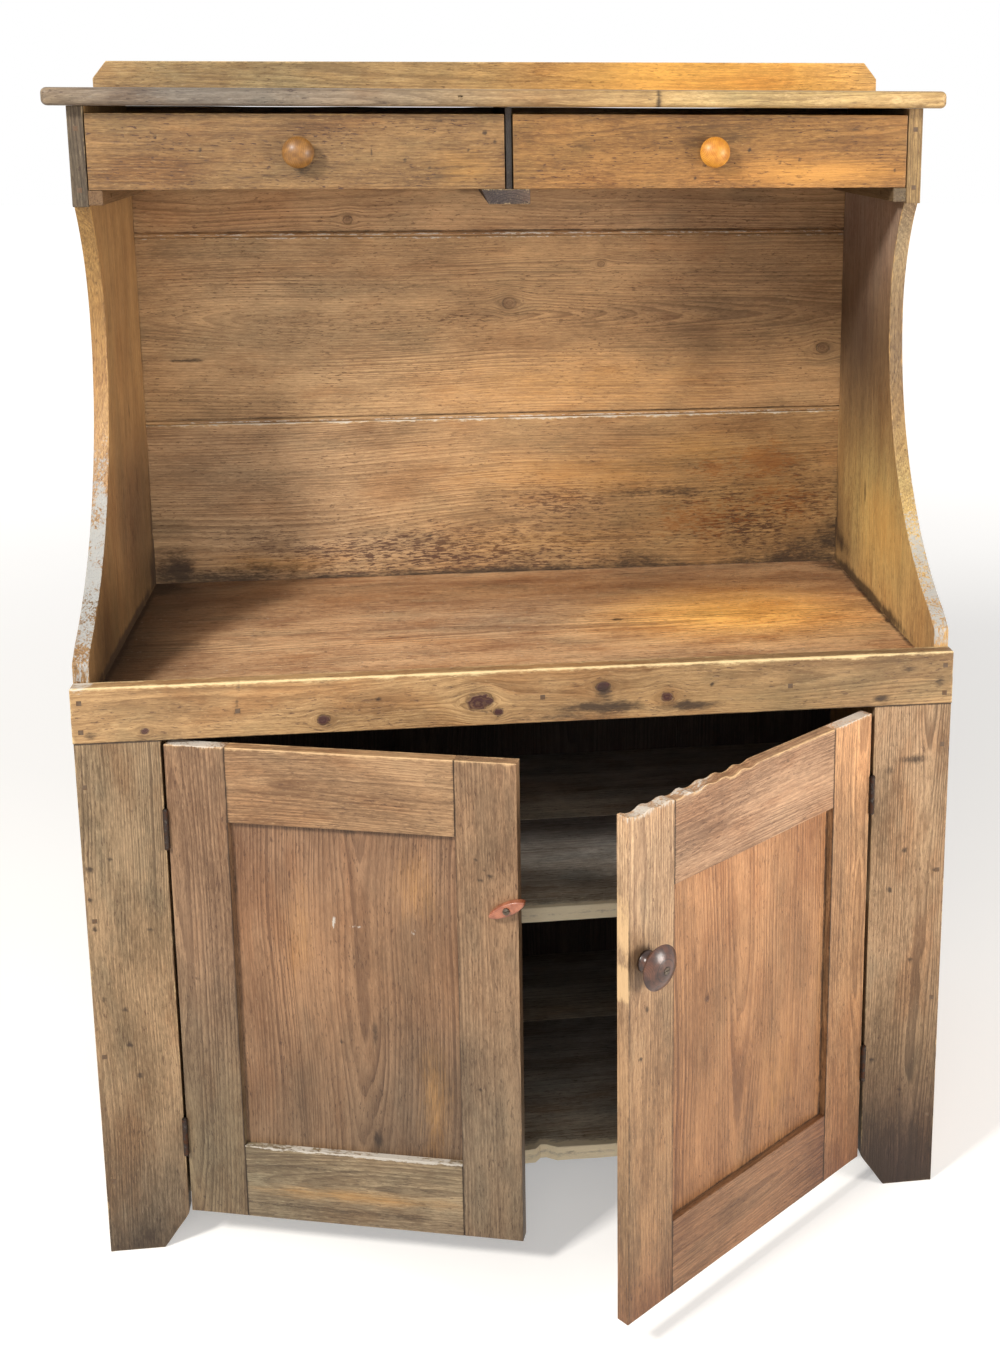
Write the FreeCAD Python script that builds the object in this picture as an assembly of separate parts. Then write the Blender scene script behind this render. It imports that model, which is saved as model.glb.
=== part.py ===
import FreeCAD, Part
import math
import os

# A country dry sink cabinet in pine: a cupboard with two framed doors below, a shallow well with a low
# front rim above it, and an open alcove between curved sides that carry two small drawers, a top board
# and a gallery.
#
# While the pieces are made, X is 0 in the middle of the case, Y is 0 at the front of the face frame and
# grows towards the back, and Z is 0 on the floor. All lengths are in millimetres and all angles in
# degrees. The last step moves everything so that the origin is under the middle of the whole cabinet.

# --- Case -----------------------------------------------------------------------------------------
case_width = 1180.0          # over the outer faces of the two sides
case_depth = 606.0           # front of the face frame to the back edges of the sides
case_height = 1561.0         # floor to the underside of the top board
side_thickness = 21.0
wood_fit = 0.1               # play of every glued or nailed wooden joint

# --- Face frame -----------------------------------------------------------------------------------
frame_thickness = 24.0
stile_width = 109.0
foot_width = 73.5            # width of a stile where it meets the floor
foot_height = 52.0           # height at which the slanting foot cut ends
rim_bottom = 750.0
rim_height = 76.0
rim_end_lip = 1.0            # how far the rim runs past the sides
rim_round = 3.0              # worn rounding along the rim's top edges

# --- Well and shelves -----------------------------------------------------------------------------
well_depth = 30.0            # rim top down to the floor of the well
well_board_thickness = 20.0
shelf_thickness = 22.0
middle_shelf_top = 466.0
bottom_shelf_top = 87.5
middle_front_board = 298.0   # width of the front board of the middle shelf
bottom_front_board = 347.0   # width of the front board of the bottom shelf
housing_depth = 6.0          # depth of the housings that hold the shelf ends

# --- Back -----------------------------------------------------------------------------------------
back_thickness = 18.0
back_rabbet = 11.0           # how far the back boards lap onto each side
back_top_gap = 3.0           # slit between the back boards and the top board
back_lower_width = 283.0     # lowest of the three boards behind the alcove
back_middle_width = 299.0
bead_width = 7.0
quirk_width = 2.0            # sunk line above each bead
tongue_length = 6.0
tongue_thickness = 6.0
tongue_setback = 8.0         # front of the back boards to the tongue
plank_bottom = 52.0          # upright planks behind the cupboard stop here
plank_width = 303.0
plank_joint_x = -9.0         # the middle joint between the planks
plank_chamfer = 1.5

# --- Curved sides ---------------------------------------------------------------------------------
upper_setback = 233.0        # drawer fronts behind the front of the face frame
strip_thickness = 10.0       # facing strip on the front edge of each side, beside the drawers
strip_tail = 22.5            # how far the strip hangs below the drawer fronts
waist_drop = 162.0           # bottom of the strip down to the deepest point of the curve
waist_depth = 298.0          # front of the face frame to the deepest point of the curve
toe_rise = 42.0              # rim top up to the lower end of the curve
toe_depth = 48.0             # front of the face frame to the lower end of the curve
toe_front_rise = 24.0        # rim top up to where the slanting toe meets the upright front edge

# --- Top board and gallery ------------------------------------------------------------------------
top_thickness = 24.0
top_side_overhang = 27.5
top_front_overhang = 25.0
top_round = 8.0
round_limit = 0.45           # largest rounding, as a share of the board's thickness
gallery_height = 48.0
gallery_thickness = 18.0
gallery_cut_width = 21.0
gallery_cut_height = 26.0

# --- Drawers --------------------------------------------------------------------------------------
drawer_front_height = 102.0
drawer_top_gap = 9.5
drawer_front_thickness = 20.0
drawer_back_gap = 13.0       # behind a closed drawer
drawer_side_thickness = 12.0
drawer_back_thickness = 12.0
drawer_bottom_thickness = 8.0
drawer_bottom_rise = 6.0     # lower edge of a drawer up to its bottom board
drawer_groove = 5.0
drawer_front_lip = 8.0       # front wood left in front of the lapped side ends
drawer_side_drop = 3.0       # the sides and back are this much lower than the front
drawer_play = 1.4            # on each side of a drawer
running_gap = 0.3            # under a drawer, and between parts that turn on each other
divider_thickness = 9.0
divider_x = -2.0
divider_setback = 3.0
runner_width = 19.0
runner_height = 20.0
runner_setback = 1.0         # side runners behind the drawer fronts
centre_runner_width = 68.0
centre_runner_height = 21.0
centre_runner_bevel = 10.0

# --- Doors ----------------------------------------------------------------------------------------
door_thickness = 19.0
door_height = 690.0
left_door_rise = 55.0        # floor to the bottom of the left door
right_door_rise = 51.0
hinge_gap = 3.0
meeting_gap = 3.0
meeting_x = -5.5             # where the two closed doors meet
door_stile_width = 82.0
left_top_rail = 105.0
left_bottom_rail = 109.0
right_top_rail = 114.0
right_bottom_rail = 106.0
panel_recess = 9.0
groove_width = 7.0
groove_depth = 8.0
tenon_length = 55.0
tenon_shoulder = 12.0
left_door_angle = 15.7       # how far each door stands open
right_door_angle = 38.3
bite_count = 7               # gnawed hollows along the top of the right door
bite_pitch = 34.0
bite_start = 20.5            # free edge of the door to the first hollow
bite_radius = 26.0
bite_depth = 4.5             # of the deepest hollow
bite_unevenness = 0.5        # how much shallower the shallowest one is, as a share
bite_phase = 137.5           # turn of the unevenness from one hollow to the next

# --- Butt hinges ----------------------------------------------------------------------------------
hinge_length = 55.0
leaf_depth = 18.0            # how far a leaf reaches in from the front face
leaf_thickness = 1.4
knuckle_radius = 3.4
knuckle_proud = 3.6          # hinge pin axis in front of the face frame
knuckle_gap = 0.4
pin_radius = 1.5
pin_fit = 0.05
pin_head_radius = 2.6
pin_head_height = 1.0
left_hinge_heights = (172.0, 627.0)
right_hinge_heights = (204.0, 621.0)
hinge_screw_spacing = 32.0
hinge_screw_inset = 11.0
hinge_screw_radius = 1.6
hinge_screw_head_radius = 3.2
hinge_screw_length = 14.0

# --- Knobs and turn button ------------------------------------------------------------------------
drawer_knob_radius = 21.3
drawer_knob_foot_radius = 10.0
drawer_knob_neck_radius = 8.0
drawer_knob_throat_radius = 10.5     # where the neck runs out into the head
drawer_knob_neck_length = 12.0
drawer_knob_rim = 16.25              # face of the drawer to the widest circle
drawer_knob_length = 29.0
drawer_knob_dowel_radius = 6.0
drawer_knob_drop = 0.5       # below the middle of the drawer front
door_knob_radius = 29.0
door_knob_base_radius = 14.0
door_knob_neck_radius = 10.5
door_knob_throat_radius = 14.5
door_knob_base_length = 4.0
door_knob_neck_length = 20.0
door_knob_rim = 25.95
door_knob_length = 37.0
knob_edge_round = 2.0        # rounding between the underside of a knob's head and its widest circle
door_knob_edge_distance = 29.5
door_knob_height = 546.0
button_length = 50.0
button_width = 17.0
button_tip_width = 8.0
button_tip_bulge = 1.5
button_thickness = 11.0
button_round = 2.5
button_tilt = 25.0
button_edge_distance = 13.5
button_height = 547.0
screw_radius = 2.2
screw_head_radius = 4.6
screw_head_height = 2.4
screw_depth = 13.0           # how far a screw goes into the door
screw_slot_width = 1.0
screw_slot_depth = 1.0
turning_fit = 0.08           # radial play of the button on its screw
dowel_fit = 0.05             # radial play of dowels and screw holes

# --- Cut nails ------------------------------------------------------------------------------------
nail_width = 3.5
nail_head_width = 6.5
nail_head_thickness = 1.5
nail_length = 46.0
frame_nail_heights = (110.0, 300.0, 500.0, 690.0)    # through the stiles, into the edges of the sides
rim_nail_rise = 16.0         # rim bottom to its lower nails
rim_nail_drop = 20.0         # rim top to its upper nails
strip_nail_drop = 20.0       # drawer top to the upper nail of a facing strip
top_nail_front_inset = 67.0  # front nails through the top and the runners, behind the drawer fronts
top_nail_back_inset = 46.0   # hindmost nails through the top, in front of the back of the case
runner_nail_back_inset = 68.0    # hindmost nails of the runners, in front of the back boards
well_nail_places = (-380.0, 20.0, 360.0)
gallery_nail_places = (-500.0, -170.0, 170.0, 500.0)
back_nail_share = 0.2        # a back board's edge to its nails, as a share of the board's width
plank_nail_inset = 60.0      # from the edges of an upright plank
nosing_nail_x = -68.0        # a single nail in the front edge of the top
nosing_nail_rise = 12.0

# --- Heights and places that follow from the sizes above ------------------------------------------
half_width = case_width / 2
inner_half = half_width - side_thickness
opening_half = half_width - stile_width
rim_top = rim_bottom + rim_height
well_top = rim_top - well_depth
well_underside = well_top - well_board_thickness
back_front = case_depth - back_thickness
back_half = inner_half + back_rabbet
back_top = case_height - back_top_gap
back_low_joint = well_underside + back_lower_width
back_high_joint = back_low_joint + back_middle_width
drawer_top = case_height - drawer_top_gap
drawer_bottom = drawer_top - drawer_front_height
drawer_middle = (drawer_top + drawer_bottom) / 2
drawer_length = back_front - drawer_back_gap - upper_setback
strip_bottom = drawer_bottom - strip_tail
strip_back = upper_setback + strip_thickness
waist_height = strip_bottom - waist_drop
runner_top = drawer_bottom - running_gap
housing_half = inner_half + housing_depth
left_axis_x = -opening_half + hinge_gap / 2
right_axis_x = opening_half - hinge_gap / 2
axis_y = -knuckle_proud
top_front = upper_setback - top_front_overhang
top_half = half_width + top_side_overhang
top_upper = case_height + top_thickness


def block(x0, x1, y0, y1, z0, z1):
    """A squared piece between two values on each axis."""
    return Part.makeBox(x1 - x0, y1 - y0, z1 - z0, FreeCAD.Vector(x0, y0, z0))


def face_of(steps, place):
    """A flat face whose outline runs through steps: a point, or a pair (middle, end) for an arc."""
    edges = []
    here = steps[0]
    for step in steps[1:]:
        if isinstance(step[0], tuple):
            middle, end = step
            edges.append(Part.Arc(place(here), place(middle), place(end)).toShape())
            here = end
        else:
            edges.append(Part.LineSegment(place(here), place(step)).toShape())
            here = step
    if here != steps[0]:
        edges.append(Part.LineSegment(place(here), place(steps[0])).toShape())
    return Part.Face(Part.Wire(edges))


def prism_along_x(steps, x0, x1):
    """An outline in Y and Z, carried along X."""
    face = face_of(steps, lambda p: FreeCAD.Vector(x0, p[0], p[1]))
    return face.extrude(FreeCAD.Vector(x1 - x0, 0, 0))


def prism_along_y(steps, y0, y1):
    """An outline in X and Z, carried along Y."""
    face = face_of(steps, lambda p: FreeCAD.Vector(p[0], y0, p[1]))
    return face.extrude(FreeCAD.Vector(0, y1 - y0, 0))


def turned(steps):
    """An outline in radius and distance, turned about the Y axis. Distance grows towards the front."""
    face = face_of(steps, lambda p: FreeCAD.Vector(p[0], -p[1], 0))
    return face.revolve(FreeCAD.Vector(0, 0, 0), FreeCAD.Vector(0, 1, 0), 360)


def dome_middle(radius, low, high):
    """The middle point of a round dome that rises from a rim of this radius at low to its top at high."""
    rise = high - low
    ball = (radius ** 2 + rise ** 2) / (2 * rise)
    angle = math.asin(min(1.0, radius / ball)) / 2
    return (ball * math.sin(angle), high - ball * (1 - math.cos(angle)))


def rod(x, y, z, radius, length, direction):
    """A round rod that starts at a point."""
    return Part.makeCylinder(radius, length, FreeCAD.Vector(x, y, z), direction)


def moved(shape, x, y, z):
    copy = shape.copy()
    copy.translate(FreeCAD.Vector(x, y, z))
    return copy


def mirrored(shape):
    """The same piece for the right-hand side."""
    return shape.mirror(FreeCAD.Vector(0, 0, 0), FreeCAD.Vector(1, 0, 0))


def rounded(shape, radius, chosen):
    """Rounds the edges for which chosen(edge) is true."""
    return shape.makeFillet(radius, [edge for edge in shape.Edges if chosen(edge)])


def lies_at(edge, **values):
    """True where both ends of an edge lie at the given x, y or z."""
    ends = [vertex.Point for vertex in edge.Vertexes]
    return all(abs(getattr(end, name) - value) < 1e-6 for end in ends for name, value in values.items())


FRONTWARD = FreeCAD.Vector(0, -1, 0)
BACKWARD = FreeCAD.Vector(0, 1, 0)
UPWARD = FreeCAD.Vector(0, 0, 1)
RIGHTWARD = FreeCAD.Vector(1, 0, 0)


# --- Case boards ----------------------------------------------------------------------------------
def curve_of_side():
    """The front outline of a side, from the bottom of the strip down to the upright edge behind the rim.

    Two arcs meet at the waist, where both run straight down. Each arc's radius follows from how far it
    moves forward and how far it drops.
    """
    upper_back = waist_depth - strip_back
    upper_radius = (upper_back ** 2 + waist_drop ** 2) / (2 * upper_back)
    upper_angle = math.asin(waist_drop / upper_radius)
    toe_height = rim_top + toe_rise
    lower_drop = waist_height - toe_height
    lower_forward = waist_depth - toe_depth
    lower_radius = (lower_forward ** 2 + lower_drop ** 2) / (2 * lower_forward)
    lower_angle = math.atan2(lower_drop, lower_radius - lower_forward)

    def point(radius, angle):
        return (waist_depth - radius + radius * math.cos(angle), waist_height + radius * math.sin(angle))

    return [
        (strip_back, strip_bottom),
        (point(upper_radius, upper_angle / 2), (waist_depth, waist_height)),
        (point(lower_radius, -lower_angle / 2), (toe_depth, toe_height)),
        (frame_thickness, rim_top + toe_front_rise),
    ]


def side_left():
    """One wide board with a curved front, housed for the shelves and rebated for the back boards."""
    outline = [(frame_thickness, 0), (case_depth, 0), (case_depth, case_height), (strip_back, case_height)]
    board = prism_along_x(outline + curve_of_side(), -half_width, -inner_half)
    rabbet = block(-back_half - wood_fit, -inner_half, back_front, case_depth, 0, case_height)
    board = board.cut(rabbet)
    shelves = [(bottom_shelf_top, shelf_thickness), (middle_shelf_top, shelf_thickness)]
    deep = -housing_half - wood_fit
    for top, thickness in shelves + [(well_top, well_board_thickness)]:
        board = board.cut(block(deep, -inner_half, frame_thickness, back_front, top - thickness, top))
    return board


def stile_left():
    """Upright of the face frame. Its foot is cut on a slant."""
    inner = -opening_half
    outline = [
        (-half_width, 0),
        (-half_width + foot_width, 0),
        (inner, foot_height),
        (inner, rim_bottom),
        (-half_width, rim_bottom),
    ]
    stile = prism_along_y(outline, 0, frame_thickness)
    for height in left_hinge_heights:
        stile = stile.cut(leaf_bed(-1, height))
    return stile


def stile_right():
    inner = opening_half
    outline = [
        (half_width, 0),
        (half_width, rim_bottom),
        (inner, rim_bottom),
        (inner, foot_height),
        (half_width - foot_width, 0),
    ]
    stile = prism_along_y(outline, 0, frame_thickness)
    for height in right_hinge_heights:
        stile = stile.cut(leaf_bed(1, height))
    return stile


def leaf_bed(side, height):
    """The shallow bed in a stile of the face frame that takes a hinge leaf. side is -1 left, 1 right."""
    near = side * opening_half
    far = side * (opening_half + leaf_thickness)
    low = height - hinge_length / 2
    return block(min(near, far), max(near, far), 0, leaf_depth, low, low + hinge_length)


def rim_rail():
    """The low front board of the well, with a worn top edge."""
    end = half_width + rim_end_lip
    rail = block(-end, end, 0, frame_thickness, rim_bottom, rim_top)

    def long_top_edge(edge):
        return lies_at(edge, z=rim_top) and abs(edge.Length - 2 * end) < 1e-6

    return rounded(rail, min(rim_round, frame_thickness * round_limit), long_top_edge)


def shelf_board(top, thickness, front, back):
    return block(-housing_half, housing_half, front, back, top - thickness, top)


def back_board(low, high, beaded, tongued):
    """A board across the back of the alcove.

    A beaded board has a half-round bead and a sunk line along its lower edge and a groove under it.
    A tongued board has a tongue on top, for the groove of the board above.
    """
    front = back_front
    bead = bead_width / 2
    tongue_front = front + tongue_setback
    tongue_back = tongue_front + tongue_thickness
    outline = [(front, high)]
    if beaded:
        groove_top = low + tongue_length + wood_fit
        outline += [
            (front, low + bead_width + quirk_width),
            (front + bead, low + bead_width + quirk_width),
            (front + bead, low + bead_width),
            ((front, low + bead), (front + bead, low)),
            (tongue_front - wood_fit, low),
            (tongue_front - wood_fit, groove_top),
            (tongue_back + wood_fit, groove_top),
            (tongue_back + wood_fit, low),
        ]
    else:
        outline += [(front, low)]
    outline += [(case_depth, low), (case_depth, high)]
    if tongued:
        outline += [
            (tongue_back, high),
            (tongue_back, high + tongue_length),
            (tongue_front, high + tongue_length),
            (tongue_front, high),
        ]
    return prism_along_x(outline, -back_half, back_half)


def lower_back_plank(left, right):
    """An upright plank behind the cupboard, with its front corners eased."""
    plank = block(left, right, back_front, case_depth, plank_bottom, well_underside)
    corners = []
    for x in (left, right):
        corners += [edge for edge in plank.Edges if lies_at(edge, x=x, y=back_front)]
    return plank.makeChamfer(plank_chamfer, corners)


def drawer_strip_left():
    return block(-half_width, -inner_half, upper_setback, strip_back, strip_bottom, case_height)


def top_board():
    """The top, rounded along its front and both ends."""
    board = block(-top_half, top_half, top_front, case_depth, case_height, top_upper)

    def outer(edge):
        upright = abs(edge.Length - top_thickness) < 1e-6
        along_end = lies_at(edge, x=-top_half) or lies_at(edge, x=top_half)
        return not upright and (along_end or lies_at(edge, y=top_front))

    return rounded(board, min(top_round, top_thickness * round_limit), outer)


def gallery_board():
    """The low upstand along the back of the top, with its upper corners cut off."""
    crest = top_upper + gallery_height
    outline = [
        (-top_half, top_upper),
        (top_half, top_upper),
        (top_half, crest - gallery_cut_height),
        (top_half - gallery_cut_width, crest),
        (-top_half + gallery_cut_width, crest),
        (-top_half, crest - gallery_cut_height),
    ]
    return prism_along_y(outline, case_depth - gallery_thickness, case_depth)


def drawer_divider():
    """The thin upright board between the drawers. It stands on the centre runner."""
    half = divider_thickness / 2
    front = upper_setback + divider_setback
    return block(divider_x - half, divider_x + half, front, back_front, runner_top, case_height)


def centre_runner():
    """The middle runner, seen below the drawers, with one end of its section cut on a slant."""
    left = divider_x - centre_runner_width / 2 - centre_runner_bevel / 2
    right = divider_x + centre_runner_width / 2 - centre_runner_bevel / 2
    low = runner_top - centre_runner_height
    outline = [(left, runner_top), (left + centre_runner_bevel, low), (right, low), (right, runner_top)]
    return prism_along_y(outline, upper_setback, back_front)


def side_runner_left():
    front = upper_setback + runner_setback
    low = runner_top - runner_height
    return block(-inner_half, -inner_half + runner_width, front, back_front, low, runner_top)


# --- Drawers --------------------------------------------------------------------------------------
def drawer(left, right):
    """The pieces of one drawer, which fills the space from left to right."""
    x0 = left + drawer_play
    x1 = right - drawer_play
    y0 = upper_setback
    y1 = y0 + drawer_length
    z0 = drawer_bottom
    z1 = drawer_top
    side_top = z1 - drawer_side_drop
    lap = y0 + drawer_front_lip
    front_back = y0 + drawer_front_thickness
    inner0 = x0 + drawer_side_thickness
    inner1 = x1 - drawer_side_thickness
    board_low = z0 + drawer_bottom_rise
    board_high = board_low + drawer_bottom_thickness
    groove0 = inner0 - drawer_groove
    groove1 = inner1 + drawer_groove
    middle = (x0 + x1) / 2
    knob_height = drawer_middle - drawer_knob_drop

    front = block(x0, x1, y0, front_back, z0, z1)
    front = front.cut(block(x0, inner0 + wood_fit, lap, front_back, z0, z1))
    front = front.cut(block(inner1 - wood_fit, x1, lap, front_back, z0, z1))
    front = front.cut(block(inner0, inner1, front_back - drawer_groove, front_back, board_low, board_high))
    hole_radius = drawer_knob_dowel_radius + dowel_fit
    front = front.cut(rod(middle, y0, knob_height, hole_radius, drawer_front_thickness, BACKWARD))

    groove_left = block(groove0 - wood_fit, inner0, lap, y1, board_low, board_high)
    groove_right = block(inner1, groove1 + wood_fit, lap, y1, board_low, board_high)
    left_side = block(x0, inner0, lap + wood_fit, y1, z0, side_top).cut(groove_left)
    right_side = block(inner1, x1, lap + wood_fit, y1, z0, side_top).cut(groove_right)
    back = block(inner0 + wood_fit, inner1 - wood_fit, y1 - drawer_back_thickness, y1, board_high, side_top)
    board_front = front_back - drawer_groove + wood_fit
    bottom = block(groove0, groove1, board_front, y1, board_low + wood_fit, board_high)
    knob = moved(drawer_knob(), middle, y0, knob_height)
    return {
        "front": front,
        "left_side": left_side,
        "right_side": right_side,
        "back": back,
        "bottom": bottom,
        "knob": knob,
    }


def knob_head(radius, throat, rim, crest):
    """The outline of a knob's head: a sloping underside, a rounded edge and a dome."""
    edge_start = (radius - knob_edge_round, (throat + rim) / 2)
    edge_middle = (radius - knob_edge_round / 4, rim - (rim - throat) / 4)
    return [
        edge_start,
        (edge_middle, (radius, rim)),
        (dome_middle(radius, rim, crest), (0, crest)),
    ]


def drawer_knob():
    """A turned mushroom knob with a dowel behind it. Its face plate is at Y 0."""
    throat = drawer_knob_neck_length
    outline = [(0, 0), (drawer_knob_foot_radius, 0)]
    outline += [((drawer_knob_neck_radius, throat / 2), (drawer_knob_throat_radius, throat))]
    outline += knob_head(drawer_knob_radius, throat, drawer_knob_rim, drawer_knob_length)
    dowel = rod(0, 0, 0, drawer_knob_dowel_radius, drawer_front_thickness, BACKWARD)
    return turned(outline).fuse(dowel).removeSplitter()


# --- Doors ----------------------------------------------------------------------------------------
def door_block(side, u0, u1, d0, d1, z0, z1):
    """A squared piece of a closed door.

    u runs from the hinge edge towards the free edge, and d from the front face towards the back.
    """
    edge = side * (opening_half - hinge_gap)
    x = sorted((edge - side * u0, edge - side * u1))
    return block(x[0], x[1], d0, d1, z0, z1)


def door(side, width, rise, top_rail, bottom_rail):
    """One closed door: mortised stiles, tenoned rails and a panel let into grooves."""
    crest = rise + door_height
    inner = door_stile_width
    far = width - door_stile_width
    opening_low = rise + bottom_rail
    opening_high = crest - top_rail
    groove0 = panel_recess
    groove1 = panel_recess + groove_width
    tongue0 = groove0 + wood_fit
    tongue1 = groove1 - wood_fit

    hinge_stile = door_block(side, 0, inner, 0, door_thickness, rise, crest)
    lock_stile = door_block(side, far, width, 0, door_thickness, rise, crest)
    tall = (opening_low - groove_depth, opening_high + groove_depth)
    hinge_stile = hinge_stile.cut(door_block(side, inner - groove_depth, inner, groove0, groove1, *tall))
    lock_stile = lock_stile.cut(door_block(side, far, far + groove_depth, groove0, groove1, *tall))
    rails = {}
    for name, low, high in (("top_rail", opening_high, crest), ("bottom_rail", rise, opening_low)):
        tenon_low = low + tenon_shoulder
        tenon_high = high - tenon_shoulder
        rail = door_block(side, inner, far, 0, door_thickness, low, high)
        reach0 = inner - tenon_length
        reach1 = far + tenon_length
        tenon = (tongue0, tongue1, tenon_low + wood_fit, tenon_high - wood_fit)
        mortise = (groove0, groove1, tenon_low, tenon_high)
        rail = rail.fuse(door_block(side, reach0, reach1, *tenon)).removeSplitter()
        hinge_stile = hinge_stile.cut(door_block(side, reach0 - wood_fit, inner, *mortise))
        lock_stile = lock_stile.cut(door_block(side, far, reach1 + wood_fit, *mortise))
        if name == "top_rail":
            groove = door_block(side, inner, far, groove0, groove1, low, low + groove_depth)
        else:
            groove = door_block(side, inner, far, groove0, groove1, high - groove_depth, high)
        rails[name] = rail.cut(groove)
    edge = groove_depth - wood_fit
    panel_heights = (opening_low - edge, opening_high + edge)
    panel = door_block(side, inner - edge, far + edge, tongue0, tongue1, *panel_heights)
    return {"hinge_stile": hinge_stile, "lock_stile": lock_stile, "panel": panel, **rails}


def gnawed(piece, width, crest):
    """Shallow hollows along the top edge of the right door, from its free edge inwards."""
    free_x = opening_half - hinge_gap - width
    for i in range(bite_count):
        x = free_x + bite_start + bite_pitch * i
        shallower = bite_unevenness * (1 - math.cos(math.radians(bite_phase) * i)) / 2
        centre = crest + bite_radius - bite_depth * (1 - shallower)
        piece = piece.cut(rod(x, -1, centre, bite_radius, door_thickness + 2, BACKWARD))
    return piece


# --- Butt hinges ----------------------------------------------------------------------------------
def knuckle_spans(low, indexes):
    """Bottom and top of some of a hinge's three knuckles, counted from below."""
    third = hinge_length / 3
    spans = []
    for index in indexes:
        start = low + index * third + (knuckle_gap / 2 if index else 0)
        end = low + (index + 1) * third - (knuckle_gap / 2 if index < 2 else 0)
        spans.append((start, end))
    return spans


def hinge_leaf(side, height, on_door):
    """One leaf with its knuckles, at X of the left or right hinge pin."""
    axis_x = side * (opening_half - hinge_gap / 2)
    low = height - hinge_length / 2
    offset = hinge_gap / 2 * (-side if on_door else side)
    outer = offset + math.copysign(leaf_thickness, offset)
    x = sorted((axis_x + offset, axis_x + outer))
    leaf = block(x[0], x[1], axis_y, leaf_depth, low, low + hinge_length)
    own = (1,) if on_door else (0, 2)
    other = (0, 2) if on_door else (1,)
    for start, end in knuckle_spans(low, other):
        room_length = end - start + 2 * knuckle_gap
        room = rod(axis_x, axis_y, start - knuckle_gap, knuckle_radius + knuckle_gap, room_length, UPWARD)
        leaf = leaf.cut(room)
    for start, end in knuckle_spans(low, own):
        leaf = leaf.fuse(rod(axis_x, axis_y, start, knuckle_radius, end - start, UPWARD))
    bore = rod(axis_x, axis_y, low - 1, pin_radius + pin_fit, hinge_length + 2, UPWARD)
    leaf = leaf.cut(bore).removeSplitter()
    hole_radius = hinge_screw_head_radius + dowel_fit
    for screw_z in hinge_screw_heights(height):
        hole = rod(x[0] - 1, hinge_screw_inset, screw_z, hole_radius, leaf_thickness + 2, RIGHTWARD)
        leaf = leaf.cut(hole)
    return leaf


def hinge_screw_heights(height):
    return (height - hinge_screw_spacing / 2, height + hinge_screw_spacing / 2)


def hinge_screws(side, height, on_door, play=0.0):
    """Flat-headed screws that hold one leaf. With play they are the holes in the wood behind it."""
    inward = -side if on_door else side
    start = side * (opening_half - hinge_gap) if on_door else side * opening_half
    direction = FreeCAD.Vector(inward, 0, 0)
    screws = []
    for z in hinge_screw_heights(height):
        shank_x = start + inward * leaf_thickness
        shank = rod(shank_x, hinge_screw_inset, z, hinge_screw_radius + play, hinge_screw_length, direction)
        if play:
            screws.append(shank)
            continue
        head = rod(start, hinge_screw_inset, z, hinge_screw_head_radius, leaf_thickness, direction)
        slot = block(
            start - screw_slot_depth / 2,
            start + screw_slot_depth / 2,
            hinge_screw_inset - hinge_screw_head_radius,
            hinge_screw_inset + hinge_screw_head_radius,
            z - screw_slot_width / 2,
            z + screw_slot_width / 2,
        )
        screws.append(head.fuse(shank).removeSplitter().cut(slot))
    return screws


def hinge_pin(side, height):
    """The loose pin of one hinge, headed at both ends."""
    axis_x = side * (opening_half - hinge_gap / 2)
    low = height - hinge_length / 2
    pin = rod(axis_x, axis_y, low, pin_radius, hinge_length, UPWARD)
    for start in (low - pin_head_height, low + hinge_length):
        pin = pin.fuse(rod(axis_x, axis_y, start, pin_head_radius, pin_head_height, UPWARD))
    return pin.removeSplitter()


# --- Knob and turn button of the doors ------------------------------------------------------------
def door_knob():
    """A large turned knob with a screw hole through it. Its foot is at Y 0."""
    base = door_knob_base_length
    throat = door_knob_neck_length
    outline = [(0, 0), (door_knob_base_radius, 0), (door_knob_base_radius, base)]
    outline += [((door_knob_neck_radius, (base + throat) / 2), (door_knob_throat_radius, throat))]
    outline += knob_head(door_knob_radius, throat, door_knob_rim, door_knob_length)
    knob = turned(outline)
    hole = rod(0, 0, 0, screw_radius + dowel_fit, door_knob_length + 1, FRONTWARD)
    recess_bottom = door_knob_length - screw_head_height
    recess = rod(0, -recess_bottom, 0, screw_head_radius + dowel_fit, screw_head_height + 1, FRONTWARD)
    return knob.cut(hole).cut(recess)


def slotted_screw(seat, depth):
    """A screw along Y whose head rests seat in front of Y 0 and whose point is depth behind it."""
    head = rod(0, -seat, 0, screw_head_radius, screw_head_height, FRONTWARD)
    shank = rod(0, -seat, 0, screw_radius, seat + depth, BACKWARD)
    front = -seat - screw_head_height
    half = screw_slot_width / 2
    slot = block(-screw_head_radius, screw_head_radius, front, front + screw_slot_depth, -half, half)
    return head.fuse(shank).removeSplitter().cut(slot)


def turn_button():
    """A small wooden button that bows out in the middle, with a hole for its screw."""
    tip = button_length / 2
    half_tip = button_tip_width / 2
    half_waist = button_width / 2
    outline = [
        (-tip, -half_tip),
        ((0, -half_waist), (tip, -half_tip)),
        ((tip + button_tip_bulge, 0), (tip, half_tip)),
        ((0, half_waist), (-tip, half_tip)),
        ((-tip - button_tip_bulge, 0), (-tip, -half_tip)),
    ]
    front = -running_gap - button_thickness
    body = prism_along_y(outline, front, -running_gap)
    body = rounded(body, button_round, lambda e: all(abs(v.Point.y - front) < 1e-6 for v in e.Vertexes))
    hole = rod(0, 0, 0, screw_radius + turning_fit, button_thickness + 2, FRONTWARD)
    return body.cut(hole)


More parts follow.
